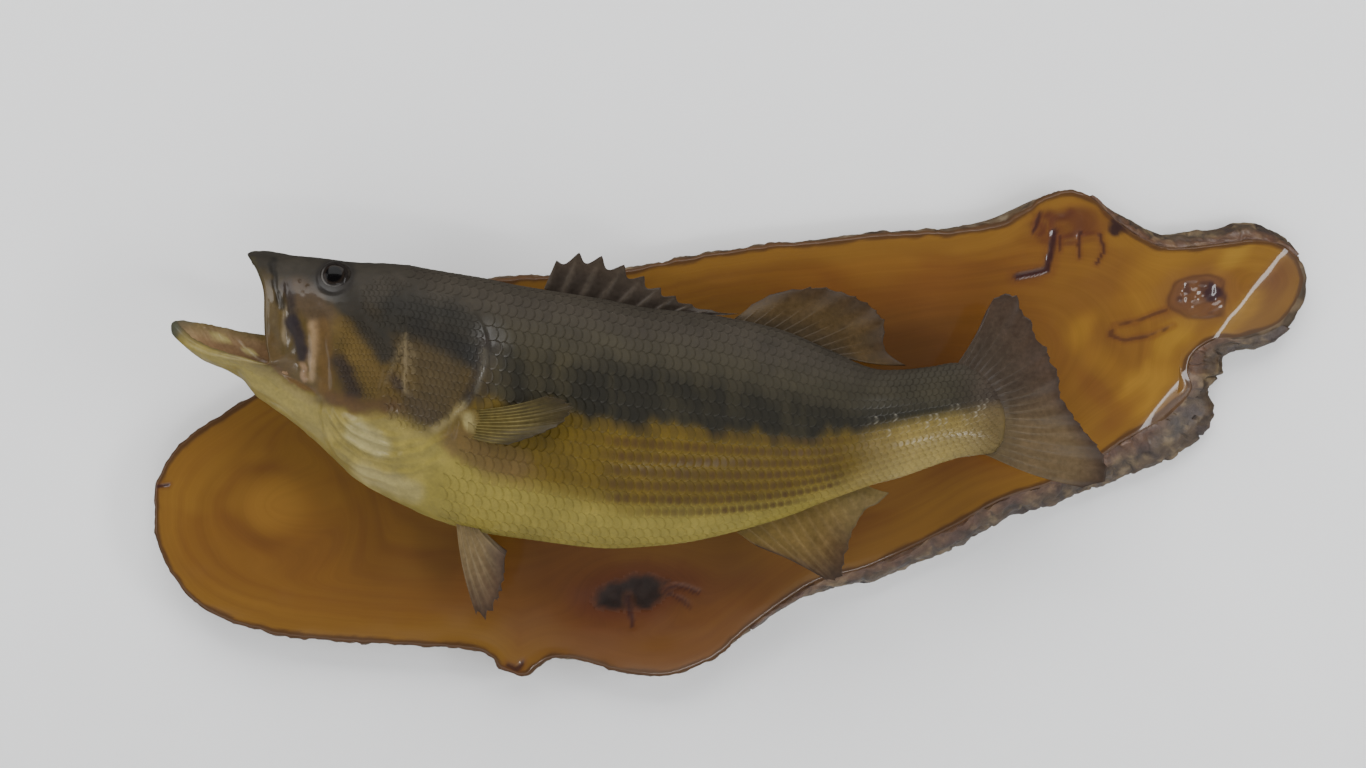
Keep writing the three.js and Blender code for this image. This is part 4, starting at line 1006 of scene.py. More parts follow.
def make_eye(name, near):
    side = 1 if near else -1
    unit_points, quads, triangles = ball(40, 56)
    local = unit_points[:, [1, 0, 2]] * [EYE["radius"], side * EYE["depth"], EYE["radius"]]
    radius = np.hypot(local[:, 0], local[:, 2])
    radius = np.where(local[:, 1] * side > 0, EYE["radius"], radius)
    # the pale arc at the iris edge, strongest at lower left, is a painted reflection
    painted_reflection_side = smooth(-0.2, 1, (-local[:, 0] - local[:, 2]) / np.maximum(radius, 1) / 1.2)
    pale = bell(radius - 7.4, 0.5) * (0.06 + 0.94 * painted_reflection_side)
    colours = coated(
        plain(radius.shape, (9, 8, 9)),
        (smooth(PUPIL, PUPIL + 0.7, radius), (27, 23, 21)),
        (0.3 * bell(radius - PUPIL - 0.5, 0.35), (64, 50, 36)),
        (0.75 * pale, (120, 116, 112)),
        (smooth(7.9, 8.6, radius), (42, 38, 34)),
    )
    streak = noise(local[:, 0], local[:, 2], 0, 1.1, 51)
    colours = colours * (1 + 0.3 * streak * smooth(PUPIL, 6, radius))[:, None]
    y, z = tilted(local[:, 1], local[:, 2], -side * EYE["tilt"])
    middle = float(body_side(EYE["x"], EYE["z"], side)) + side * EYE["sunk"]
    points = np.stack([local[:, 0] + EYE["x"], y + middle, z + EYE["z"]], axis=-1)
    return make_piece(name, points, quads, colours, triangles)


def make_tongue():
    unit_points, quads, triangles = ball(36, 40)
    local = unit_points * [TONGUE["length"] / 2, TONGUE["width"] / 2, TONGUE["height"] / 2]
    groove = 1.6 * bell(local[:, 1], 2.4) * smooth(0.2, 0.9, unit_points[:, 2])
    local[:, 2] -= groove
    local[:, 2] += 0.35 * noise(*local.T, 3.5, 61) * smooth(-0.2, 0.4, unit_points[:, 2])
    x, z = tilted(local[:, 0], local[:, 2], -TONGUE["tilt"])
    points = np.stack([x + TONGUE["x"], local[:, 1] + TONGUE["y"], z + TONGUE["z"]], axis=-1)
    colours = coated(
        plain(x.shape, (196, 168, 116)), (smooth(-20, 26, local[:, 0]), (150, 118, 74))
    )
    shade = 1 + 0.14 * noise(*local.T, 5, 62)
    return make_piece("tongue_skin", points, quads, colours * shade[:, None], triangles)


# ---------------------------------------------------------------- fins

FIN_ROOT = 4  # depth of a fin's root in the body
FIN_ROWS = 54
COLUMNS_PER_RAY = 14
MEDIAN_FIN_END = 70
TAIL_FIN = {"x": 150, "y": -86.5, "turn": -0.12}
PELVIC_MIDDLE = -71
PELVIC_SPREAD = 13
PECTORAL_INSET = 2
PECTORAL_CLEAR = 3
PELVIC_COLOURS = ((120, 102, 70), (76, 58, 44), (150, 132, 100))
PECTORAL_COLOURS = ((84, 72, 31), (62, 53, 29), (144, 130, 74))
# base line (x, z), tips (share of the base, x, z), count and relief of the rays, depth of the
# notches between them, lean, and the colours at the root, at the tip and of the rays
FINS = {
    "dorsal_fin_spiny": {
        "base": [(-117, 93), (-84, 84), (-53, 78), (-12, 73)],
        "tips": [
            (0, -111, 107), (0.11, -97, 112), (0.22, -83, 110), (0.34, -68, 104), (0.45, -56, 97),
            (0.56, -46, 90), (0.67, -37, 85), (0.78, -27, 80), (0.89, -15, 76.5), (1, 2, 74),
        ],
        "rays": 10, "relief": 1, "notch": 0.27, "lean": 0,
        "colours": ((46, 38, 31), (62, 52, 42), (104, 93, 80)),
    },
    "dorsal_fin_soft": {
        "base": [(-1, 71), (33, 62), (52, 54), (70, 46)],
        "tips": [
            (0, 10, 80), (0.1, 24, 87), (0.2, 40, 90), (0.3, 52, 91), (0.42, 66, 88), (0.54, 78, 83),
            (0.66, 87, 77), (0.76, 92, 70), (0.85, 92, 61), (0.93, 93, 52), (1, 105, 42),
        ],
        "rays": 13, "relief": 0.65, "notch": 0.035, "lean": 3,
        "colours": ((58, 46, 28), (65, 49, 30), (92, 74, 44)),
    },
    "anal_fin": {
        "base": [(4, -63), (33, -51), (58, -41), (81, -32)],
        "tips": [
            (0, 15, -70), (0.08, 36, -79), (0.16, 49, -86), (0.25, 56, -90), (0.34, 62, -90.5),
            (0.42, 65.5, -87), (0.5, 66.5, -80), (0.58, 69, -71), (0.68, 71, -62), (0.78, 75, -54),
            (0.88, 81, -46), (0.94, 88.5, -42), (1, 94, -36),
        ],
        "rays": 13, "relief": 0.8, "notch": 0.035, "lean": -2,
        "colours": ((112, 92, 48), (78, 58, 36), (134, 112, 72)),
    },
    "caudal_fin": {
        "base": [(136, 45), (152, 32), (161, 9), (153, -13)],
        "tips": [
            (0, 152, 75), (0.05, 157, 83), (0.1, 164, 86), (0.16, 171, 83.5), (0.2, 173, 76),
            (0.25, 179, 70), (0.31, 181.5, 59), (0.35, 188, 53), (0.42, 191, 44), (0.46, 195, 38),
            (0.54, 196, 27), (0.6, 199, 19), (0.68, 206, 9), (0.76, 214, -1), (0.84, 221, -11),
            (0.9, 224, -20), (0.95, 222, -28), (1, 209, -32),
        ],
        "rays": 21, "relief": 0.7, "notch": 0.022, "lean": 0,
        "colours": ((62, 52, 42), (67, 52, 41), (104, 90, 68)),
    },
    "pelvic_fin_near": {
        "base": [(-171, -54), (-165, -56), (-158, -57)],
        "tips": [
            (0, -158, -109), (0.2, -152, -112), (0.4, -147, -107), (0.6, -144, -99),
            (0.8, -141, -88), (1, -140, -73),
        ],
        "rays": 6, "relief": 1, "notch": 0.06, "lean": -9,
        "colours": PELVIC_COLOURS,
    },
    "pelvic_fin_far": {
        "base": [(-174, -52), (-167, -55), (-160, -57)],
        "tips": [
            (0, -160, -102), (0.2, -154, -106), (0.4, -149, -105), (0.6, -146, -99),
            (0.8, -144, -88), (1, -143, -74),
        ],
        "rays": 6, "relief": 1, "notch": 0.06, "lean": 6,
        "colours": PELVIC_COLOURS,
    },
    "pectoral_fin_near": {
        "base": [(-159, 15), (-161, 7), (-160, -1)],
        "tips": [
            (0, -112, 24), (0.2, -100, 21), (0.4, -97, 16), (0.6, -104, 7), (0.8, -120, 0), (1, -135, -5),
        ],
        "rays": 12, "relief": 1, "notch": 0.03, "lean": -11,
        "colours": PECTORAL_COLOURS,
    },
    "pectoral_fin_far": {
        "base": [(-161, -14), (-160, -22), (-156, -29)],
        "tips": [(0, -113, -25), (0.25, -106, -31), (0.5, -108, -39), (0.75, -118, -47), (1, -133, -48)],
        "rays": 12, "relief": 1, "notch": 0.03, "lean": 5,
        "colours": PECTORAL_COLOURS,
    },
}


def fin_depth(name, x, z, share):
    lean = FINS[name]["lean"] * np.maximum(0, share)
    if name == "caudal_fin":
        return TAIL_FIN["y"] + TAIL_FIN["turn"] * (x - TAIL_FIN["x"])
    if name == "pelvic_fin_near":
        return PELVIC_MIDDLE - PELVIC_SPREAD + lean
    if name == "pelvic_fin_far":
        return PELVIC_MIDDLE + PELVIC_SPREAD + lean
    if name == "pectoral_fin_near":
        return body_side(x, z, 1) + PECTORAL_INSET + lean
    if name == "pectoral_fin_far":
        y = body_side(x, z, -1) - PECTORAL_INSET + lean
        return np.minimum(y, BOARD_FRONT - PECTORAL_CLEAR)
    return section_at(np.minimum(x, MEDIAN_FIN_END))[3] + lean


def keyed_by_length(points):
    points = np.asarray(points, float)
    steps = np.linalg.norm(np.diff(points, axis=0), axis=1)
    lengths = np.concatenate([[0], np.cumsum(steps)])
    return np.hstack([(lengths / lengths[-1])[:, None], points])


def make_fin(name):
    """A thin plate with round rays, which branch towards their tips unless they are spines."""
    fin = FINS[name]
    spiny = name == "dorsal_fin_spiny"
    along = np.linspace(0, 1, (fin["rays"] - 1) * COLUMNS_PER_RAY + 1)
    ray = along * (fin["rays"] - 1)
    place = ray - np.round(ray)  # from the nearest ray, in ray widths
    root = interpolate(keyed_by_length(fin["base"]), along)[:, 1:]
    tip = interpolate(fin["tips"], along)[:, 1:]
    length = np.linalg.norm(tip - root, axis=1)
    web = np.sin(np.pi * np.abs(place)) ** (1.3 if spiny else 0.8)
    seed = sum(ord(letter) for letter in name)
    ragged = 0 if spiny else 0.018 * noise(ray * 1.7, 0, 0, 0.5, seed)
    end = 1 - fin["notch"] * web + np.minimum(ragged, 0.004)
    share = np.linspace(0, 1, FIN_ROWS)[:, None] ** 0.95
    share = (-FIN_ROOT / length) + (end + FIN_ROOT / length) * share
    clear = np.maximum(0, share)
    bow = 0.035 * np.sin(np.pi * np.clip(share, 0, 1)) * (0 if spiny else 1)
    way = tip - root
    across = np.stack([way[:, 1], -way[:, 0]], axis=1)
    flat = root[None] + way[None] * share[..., None] + across[None] * bow[..., None]
    x, z = flat[..., 0], flat[..., 1]
    ripple = 0.9 * np.sin(ray * 1.9 + seed)[None, :] * smooth(0.15, 1, clear)
    y = fin_depth(name, x, z, share) + ripple * (0.4 if "pectoral" in name else 1)
    centre = np.stack([x, y, z], axis=-1)
    normal = grid_normals(centre, wrap=False)
    spread = 0 if spiny else 0.2 * smooth(0.3, 1, clear)
    distance = np.abs(np.abs(place)[None, :] - spread)
    width = mix(0.2, 0.11, smooth(0, 0.7, clear)) if spiny else 0.15
    bone = bell(distance, width)
    joints = 1 + (0 if spiny else 0.12) * np.sin(clear * length[None, :] * 3.2)
    thick = mix(0.9, 0.38, smooth(0, 1, clear)) * joints * fin["relief"]
    thin = 0.27 + 0.1 * (1 - clear)
    half = np.maximum(thin, bone * thick) * mix(1, 0.55, smooth(0.9, 1, share / end))
    if name == "caudal_fin":  # its fleshy root
        fleshy = smooth(0.2, -0.02, share) * np.sin(np.pi * np.clip(along, 0.04, 0.96))[None, :]
        half = half + 2.4 * fleshy
    front, back = centre + normal * half[..., None], centre - normal * half[..., None]
    first, last, pale = fin["colours"]
    colours = coated(plain(x.shape, first), (smooth(0.1, 0.95, clear), last))
    ray_share = 0.3
    if name == "caudal_fin":
        low, out = smooth(0.42, 0.8, along)[None, :], smooth(0.05, 0.3, clear)
        colours = coated(
            colours,
            (0.7 * (low * out * smooth(1, 0.7, clear)), (104, 86, 58)),
            (0.8 * (smooth(0.45, 0.7, along)[None, :] * smooth(0.3, 0.05, clear)), (92, 77, 50)),
        )
        ray_share = mix(0.05, 0.4, smooth(0.4, 0.75, along))[None, :] * out
    if name == "dorsal_fin_soft":
        middle = smooth(0.1, 0.4, clear) * smooth(0.9, 0.55, clear)
        colours = coated(colours, (0.5 * middle, (80, 62, 32)))
        ray_share = 0.08
    if name == "anal_fin":
        tip_dark = smooth(0.55, 0.95, clear) * smooth(0.62, 0.4, along)[None, :]
        colours = coated(
            colours,
            (0.75 * smooth(0.5, 0.85, along)[None, :], (118, 102, 62)),
            (0.7 * tip_dark, (58, 44, 34)),
        )
    if "pectoral" in name:
        ray_share = 0.5 * smooth(0.95, 0.5, clear)
    colours = coated(
        colours,
        (0.35 * smooth(0.88, 1.0, share / end), (44, 34, 28)),
        (ray_share * bone * smooth(1.0, 0.4, clear), pale),
    )
    streak = noise(x, y, z, 6, seed) * 0.16 + noise(x, y, z, 2, seed + 1) * 0.08
    colours = colours * (1 + streak)[..., None]
    rows, columns = x.shape
    count = rows * columns
    at = np.arange(count).reshape(rows, columns)
    border = np.concatenate([at[0, :-1], at[:-1, -1], at[-1, :0:-1], at[:0:-1, 0]])
    following = np.roll(border, -1)
    sides = np.stack([following, border, border + count, following + count], axis=-1)
    faces = grid_quads(rows, columns)
    quads = np.concatenate([faces, faces[:, ::-1] + count, sides])
    points = np.concatenate([front.reshape(-1, 3), back.reshape(-1, 3)])
    shades = np.concatenate([colours.reshape(-1, 3)] * 2)
    return make_piece(name + "_rays", points, quads, shades)


# ---------------------------------------------------------------- board


def outline_at(t):
    """Place, reveal and outward direction on the board's outline at row number t."""
    count = len(BOARD_OUTLINE)
    keyed = [(i, *BOARD_OUTLINE[i % count][:3]) for i in range(-2, count + 3)]

    def place(s):
        return interpolate(keyed, s)

    def stated(i):
        row = BOARD_OUTLINE[i % count]
        if len(row) > 3:
            return math.radians(row[3])
        before, after = place(i % count - 0.6), place(i % count + 0.6)
        return math.atan2(before[1] - after[1], after[2] - before[2])

    bearings = np.array([stated(i) for i in range(count + 1)])
    i = np.clip(np.floor(t).astype(int), 0, count - 1)
    turn = bearings[i + 1] - bearings[i]
    turn = np.arctan2(np.sin(turn), np.cos(turn))
    angle = bearings[i] + turn * (t - i)
    _, x, z, reveal = parts(place(t))
    return x, z, reveal, np.cos(angle), np.sin(angle)


def bark_at(t):
    thickness = np.zeros_like(t)
    for first, last in BARK_RUNS.values():
        from_end = np.clip(np.minimum(t - first, last - t), 0, 2) / 2
        on_run = (t >= first) & (t <= last)
        thickness = np.where(on_run, mix(BARK_END, BARK_THICKNESS, from_end), thickness)
    return thickness


def facet_height(x, z):
    """Depth by which the board's right end has fallen away behind its ridge."""
    (x0, z0), (x1, z1) = RIDGE["from"], RIDGE["to"]
    along = np.array([x0 - x1, z0 - z1]) / math.hypot(x0 - x1, z0 - z1)
    beyond = (x - x0) * -along[1] + (z - z0) * along[0]
    beyond = beyond + 0.7 * noise(x, 0, z, 14, 70)
    return math.tan(math.radians(RIDGE["fall"])) * (beyond + np.sqrt(beyond**2 + 5)) / 2


RIGHT_KNOT = (298, 86)
KNOT_DARK = (306, 88)
HEART_OVAL = (-294, -47)
BURL = (214, 132)
BURL_HOLE = (245, 131)
# Cracks in the board: line of (x, z), half width, depth.
CRACKS = [
    ([(205, 128), (203, 115), (200.5, 104), (192.5, 101.5), (181, 99.5)], 1.7, 0.9),
    ([(221.5, 128), (221, 112)], 0.8, 0.5),
    ([(234, 126), (236.6, 115), (232.6, 108)], 0.8, 0.5),
    ([(196, 140), (192, 128)], 0.8, 0.5),
    ([(209, 125), (209, 116)], 0.6, 0.4),
    ([(-68, -106), (-66, -116), (-65, -124)], 1.2, 0.5),
    ([(-46, -101), (-34, -99), (-22, -103)], 0.8, 0.4),
    ([(-44, -102), (-36, -106), (-28, -112)], 0.7, 0.3),
    ([(276, 78), (258, 71), (243, 68), (241, 62), (250, 58.5), (268, 62), (281, 68)], 0.8, 0.22),
    ([(-370, -35), (-362, -34)], 0.8, 0.6),
    ([(-145, -149), (-139, -152), (-135, -148)], 1.0, 0.5),
]
HAIR_CRACK = 0.3  # depth under which a crack comes and goes
# Clouds in the wood near its right end: place, reach along and across, strength, colour.
RIGHT_SPOTS = [
    ((347, 98), (16, 9), 0.75, (92, 50, 24)),
    ((327, 77), (26, 7), 0.75, (144, 108, 34)),
    ((360, 84), (10, 8), 0.5, (130, 92, 34)),
    ((322, 116), (30, 7), 0.7, (142, 108, 38)),
    ((286, 66), (20, 8), 0.7, (144, 108, 34)),
    ((270, 98), (24, 14), 0.5, (134, 96, 32)),
    ((222, 66), (12, 9), 0.6, (140, 102, 32)),
    ((238, 44), (9, 16), 0.4, (136, 98, 32)),
    ((262, 26), (20, 10), 0.75, (146, 108, 36)),
    ((246, 10), (16, 6), 0.6, (92, 54, 24)),
    ((232, 28), (6, 16), 0.5, (96, 58, 26)),
    ((232, 94), (22, 12), 0.4, (104, 68, 30)),
    ((300, 104), (16, 6), 0.4, (104, 70, 30)),
]


def knot_place(x, z):
    """Distance from the middle of the left knot's hole, 1 at its rim."""
    dx, dz = x - KNOT_HOLE["x"], z - KNOT_HOLE["z"]
    along, across = tilted(dx, dz, -KNOT_HOLE["tilt"])
    ragged = 0.12 * noise(x, 0, z, 8, 71) + 0.07 * noise(x, 0, z, 2.6, 72)
    return 0.92 * np.hypot(along / (KNOT_HOLE["length"] / 2), across / (KNOT_HOLE["height"] / 2)) + ragged


def right_knot_place(x, z):
    """Distance from the middle of the right knot, 1 near its rim."""
    round_it = np.hypot((x - RIGHT_KNOT[0]) / 19, (z - RIGHT_KNOT[1]) / 13.5)
    return round_it + 0.16 * noise(x, 0, z, 9, 76)


def burl_place(x, z):
    return np.hypot((x - BURL[0]) / 27, (z - BURL[1]) / 14)


def crack_distance(x, z, line):
    return line_distance(x + 0.8 * noise(x, 0, z, 4, 79), z, line)[0]


def board_relief(x, z):
    """Height of the varnished face over its plane."""
    height = 0.3 * noise(x, 0, z, 70, 73) + 0.1 * noise(x, 0, z, 16, 74)
    height -= smooth(1.1, 0.4, knot_place(x, z)) * (1.5 + 1.0 * rough(x, 0, z, 4.5, 2, 75))
    knot = right_knot_place(x, z)
    height += 0.3 * bell(knot - 0.9, 0.14)
    height += smooth(1.0, 0.5, knot) * (0.5 + 0.9 * rough(x, 0, z, 5, 2, 77))
    height += smooth(1.1, 0.6, burl_place(x, z)) * 0.55 * rough(x, 0, z, 8, 2, 78)
    for line, width, depth in CRACKS:
        height -= depth * bell(crack_distance(x, z, line), width)
    return height


WOOD_HEART = (103, 66, 25)
WOOD_SAP = (118, 84, 31)
WOOD_DARK = (88, 52, 22)
WOOD_RIM = (76, 50, 24)
# painted shade on the board's fallen end beyond the ridge
FACET_PAINTED_SHADE = np.array([0.15, 0.2, 0.45])  # loss of red, green and blue beyond the ridge
# Places that the rings go round: place, reach, how far apart the rings lie.
RING_CENTRES = [((KNOT_HOLE["x"], KNOT_HOLE["z"]), 34, 1.2), (RIGHT_KNOT, 24, 1.2), (BURL, 24, 1.3)]


def board_colours(x, z, edge, soft_edge):
    """Slow changes of the wood's colour, painted shadows of the fish, painted shade beyond the ridge, and its
    ring number for the fine grain.
    """
    warp = 9 * noise(x, 0, z, 75, 81) + 3 * noise(x, 0, z, 26, 82)
    ring = mix(edge, 1.6 * (soft_edge + 88), smooth(4, 40, edge)) + warp * smooth(0, 40, edge)
    for (kx, kz), size, pull in RING_CENTRES:
        radius = np.hypot((x - kx) / 1.5, z - kz)
        ring = mix(ring, radius * pull, bell(radius, size))
    oval = np.hypot((x - HEART_OVAL[0]) / 1.35, z - HEART_OVAL[1])
    ring = mix(ring, 70 - oval, smooth(60, 30, oval) * 0.5)
    # heart and sap wood, bands and streaks of the grain, and painted shadows behind the tail stalk and under
    # the belly
    sap = smooth(34, 8, edge + 12 * noise(x, 0, z, 45, 83))
    clouds = smooth(-0.2, 0.7, rough(0.6 * x, 0, 1.5 * z, 60, 3, 97))
    right, left = smooth(150, 230, x), smooth(-150, -240, x)
    light = np.maximum(0.8 * sap, np.maximum(0.5 * right, 0.45 * left) + 0.5 * clouds)
    bands = 0.5 + 0.5 * np.sin(ring * 0.27 + 3.4 * noise(x, 0, z, 36, 84))
    bands = bands**2 * smooth(-0.5, 0.5, noise(x, 0, z, 55, 95))
    streaks = smooth(0.1, 0.8, noise(0.22 * x, 0, z + 0.1 * ring, 7, 98)) * smooth(60, 90, z)
    halo = bell(oval - 25 - 3 * noise(x, 0, z, 15, 96), 6) * left
    low = smooth(-78, -100, z) * smooth(-150, -90, x) * smooth(60, 10, x)
    # painted shadows of the fish on the board: behind the tail stalk and under the belly
    painted_stalk_shadow = bell(np.hypot((x - 130) / 55, (z - 40) / 38), 1)
    painted_belly_shadow = bell(np.hypot((x + 90) / 130, (z + 84) / 22), 1)
    middle = bell(x - 70, 90) * smooth(70, 92, z) * smooth(8, 20, edge)
    colours = coated(
        plain(x.shape, WOOD_HEART),
        (np.minimum(light, 1), WOOD_SAP),
        (0.24 * bands * smooth(2, 12, edge), WOOD_DARK),
        (0.3 * streaks * smooth(4, 12, edge), WOOD_DARK),
        (0.45 * halo * smooth(-20, 20, HEART_OVAL[0] - x + 12), WOOD_DARK),
        (0.5 * smooth(24, 6, oval) * left, (134, 96, 38)),
        (0.6 * low, (88, 48, 23)),
        # the painted shadows behind the tail stalk and under the belly
        (0.75 * painted_stalk_shadow, (72, 44, 22)),
        (0.4 * painted_belly_shadow, (82, 50, 26)),
        (0.3 * middle, (112, 66, 24)),
    )
    for (sx, sz), (reach_along, reach_across), strength, colour in RIGHT_SPOTS:
        along = 0.7 * (x - sx) + 0.7 * (z - sz)
        across = 0.7 * (z - sz) - 0.7 * (x - sx)
        away = np.hypot(along / reach_along, across / reach_across) + 0.4 * rough(x, 0, z, 22, 3, 99)
        colours = coated(colours, (0.85 * strength * smooth(1.5, 0.3, away), colour))
    # the rim, the two knots and the burl
    hollow, knot = knot_place(x, z), right_knot_place(x, z)
    from_dark = np.hypot((x - KNOT_DARK[0]) / 8, (z - KNOT_DARK[1]) / 7)
    dark = smooth(1.1, 0.6, from_dark + 0.4 * noise(x, 0, z, 5, 86))
    dark = np.maximum(dark, 0.6 * smooth(1.0, 0.6, knot) * smooth(0.1, 0.6, noise(x, 0, z, 5, 107)))
    burl = smooth(1.15, 0.7, burl_place(x, z) + 0.2 * noise(x, 0, z, 9, 87))
    figure = 0.5 + 0.5 * np.sin(9 * noise(x, 0, z, 13, 88))
    colours = coated(
        colours,
        (smooth(3.2, 1.2, edge + noise(x, 0, z, 9, 85)), WOOD_RIM),
        (0.65 * smooth(2.3, 1.0, hollow), (82, 40, 22)),
        (smooth(1.2, 0.8, hollow), (38, 25, 20)),
        (0.5 * smooth(1.9, 1.0, knot), (106, 72, 38)),
        (0.75 * smooth(1.15, 0.8, knot), (86, 56, 40)),
        (0.6 * bell(knot - 1.0, 0.08), (62, 36, 28)),
        (0.85 * dark, (42, 27, 34)),
        (burl * (0.5 + 0.45 * figure), (78, 42, 26)),
    )
    for line, width, depth in CRACKS:
        distance = crack_distance(x, z, line)
        share = smooth(2.0 * width, 0.7 * width, distance) * min(1, 0.35 + depth)
        if depth < HAIR_CRACK:
            share = share * smooth(-0.5, 0.4, noise(x, 0, z, 4, 100))
        stain = 0.4 * smooth(5 * width, 2 * width, distance)
        colours = coated(colours, (stain, (92, 52, 26)), (share, (52, 27, 24)))
    # painted shade on the wood beyond the ridge, where the end has fallen away
    fallen = smooth(1, 3, facet_height(x, z))
    colours = colours * (1 - fallen[..., None] * FACET_PAINTED_SHADE)
    # a dark spot of painted shade stands for the small hole by the burl, which has no depth
    from_hole = np.hypot(x - BURL_HOLE[0], z - BURL_HOLE[1])
    hole = smooth(7, 4, from_hole + 1.5 * noise(x, 0, z, 4, 89))
    return coated(colours, (hole, (46, 28, 24))), ring


BOARD_COLUMNS = 440
BOARD_ROWS = 132
BACK_ROWS = 12
# y and reach beyond the live edge, from inside the front face round to the back
WOOD_EDGE = [
    (BOARD_FRONT, -5.2), (BOARD_FRONT, -3.8), (BOARD_FRONT, -2.6), (BOARD_FRONT, -1.6),
    (BOARD_FRONT, -0.8), (-27.6, -0.2), (-27, 0.25), (-26.5, 0.5), (-24, 0.9), (-21, 1.2),
    (-18, 1.4), (-14, 1.6), (-10, 1.4), (-6, 1.1), (-3, 0.6), (0, 0),
]
FACE_LOOPS = 5  # of them that lie on the front face
BARE_EDGE_FROM = 7  # loop from which the wood isn't varnished
VARNISHED_EDGE_FROM = 150  # x from which the rounded edge in front of that loop is varnished
VARNISHED_EDGE_BELOW = 70  # and the z below which it is
BARE_KNOT = 1.12  # place in the left knot up to which it isn't varnished
RING_SOFTNESS = 0.05  # per millimetre; how strongly the nearest edge leads the grain


def edge_distances(x, z, outline):
    """Distance from the board's edge, and a softer one without creases."""
    cells = np.stack([x.ravel(), z.ravel()], axis=-1)
    nearest, soft = np.zeros(len(cells)), np.zeros(len(cells))
    step = np.roll(outline, -1, axis=0) - outline
    for start in range(0, len(cells), 4000):
        gap = cells[start : start + 4000, None, :] - outline[None]
        along = np.clip((gap * step).sum(axis=-1) / (step**2).sum(axis=-1), 0, 1)
        gap = np.linalg.norm(gap - along[..., None] * step, axis=-1)
        nearest[start : start + 4000] = gap.min(axis=1)
        weight = np.exp(-RING_SOFTNESS * gap[:, ::2]).sum(axis=1)
        soft[start : start + 4000] = -np.log(weight) / RING_SOFTNESS
    return nearest.reshape(x.shape), soft.reshape(x.shape)


def board_loops():
    """Closed rings of points round the board, each from the left end along the lower edge."""
    fine = np.linspace(0, RIGHT_END, 6000)
    fx, fz, *_ = outline_at(fine)
    length = np.concatenate([[0], np.cumsum(np.hypot(np.diff(fx), np.diff(fz)))])
    lower_t = np.interp(np.linspace(0, length[-1], BOARD_COLUMNS), length, fine)
    upper_fine = np.linspace(RIGHT_END, len(BOARD_OUTLINE), 6000)
    upper_x = np.minimum.accumulate(outline_at(upper_fine)[0])
    spread = np.convolve(np.pad(outline_at(lower_t)[0], 12, mode="edge"), np.full(25, 1 / 25), "valid")
    spread = np.maximum.accumulate(spread)
    upper_t = np.interp(-spread, -upper_x, upper_fine)
    upper_t[0], upper_t[-1] = len(BOARD_OUTLINE), RIGHT_END
    loop_t = np.concatenate([lower_t, upper_t[-2:0:-1]])
    x, z, reveal, out_x, out_z = outline_at(loop_t)
    wobble = 0.7 * noise(x, 0, z, 8, 91) + 0.75 * noise(x, 0, z, 3.2, 92)
    bark = bark_at(loop_t)
    reach = np.maximum(0, reveal - bark)
    loops = []
    for y, swell in WOOD_EDGE:
        share = (y - BOARD_FRONT) / BOARD_THICKNESS
        distance = reach * share + np.where(bark > 0, np.minimum(0, swell), swell)
        near_edge = smooth(-3, 0, swell) * np.where(bark > 0, 0.3, 1)
        distance = distance + wobble * near_edge * np.sin(np.pi * np.minimum(1, share + 0.25))
        crust = 1.3 * rough(x, y, z, 8, 3, 90) * np.where(bark > 0, 0, 1)
        distance = distance + (crust - 0.6) * smooth(0.05, 0.25, share) * smooth(1, 0.85, share)
        px, pz = x + out_x * distance, z + out_z * distance
        fallen = BOARD_FRONT + facet_height(px, pz)
        loops.append(np.stack([px, np.minimum(0, np.maximum(y, fallen)), pz], axis=-1))
    loops = np.array(loops)
    # where the lower edge overhangs, the innermost ring keeps clear of it
    lower_x = loops[0][:BOARD_COLUMNS, 0]
    loops[0][:BOARD_COLUMNS, 0] = np.minimum.accumulate(lower_x[::-1])[::-1]
    return loops, loop_t


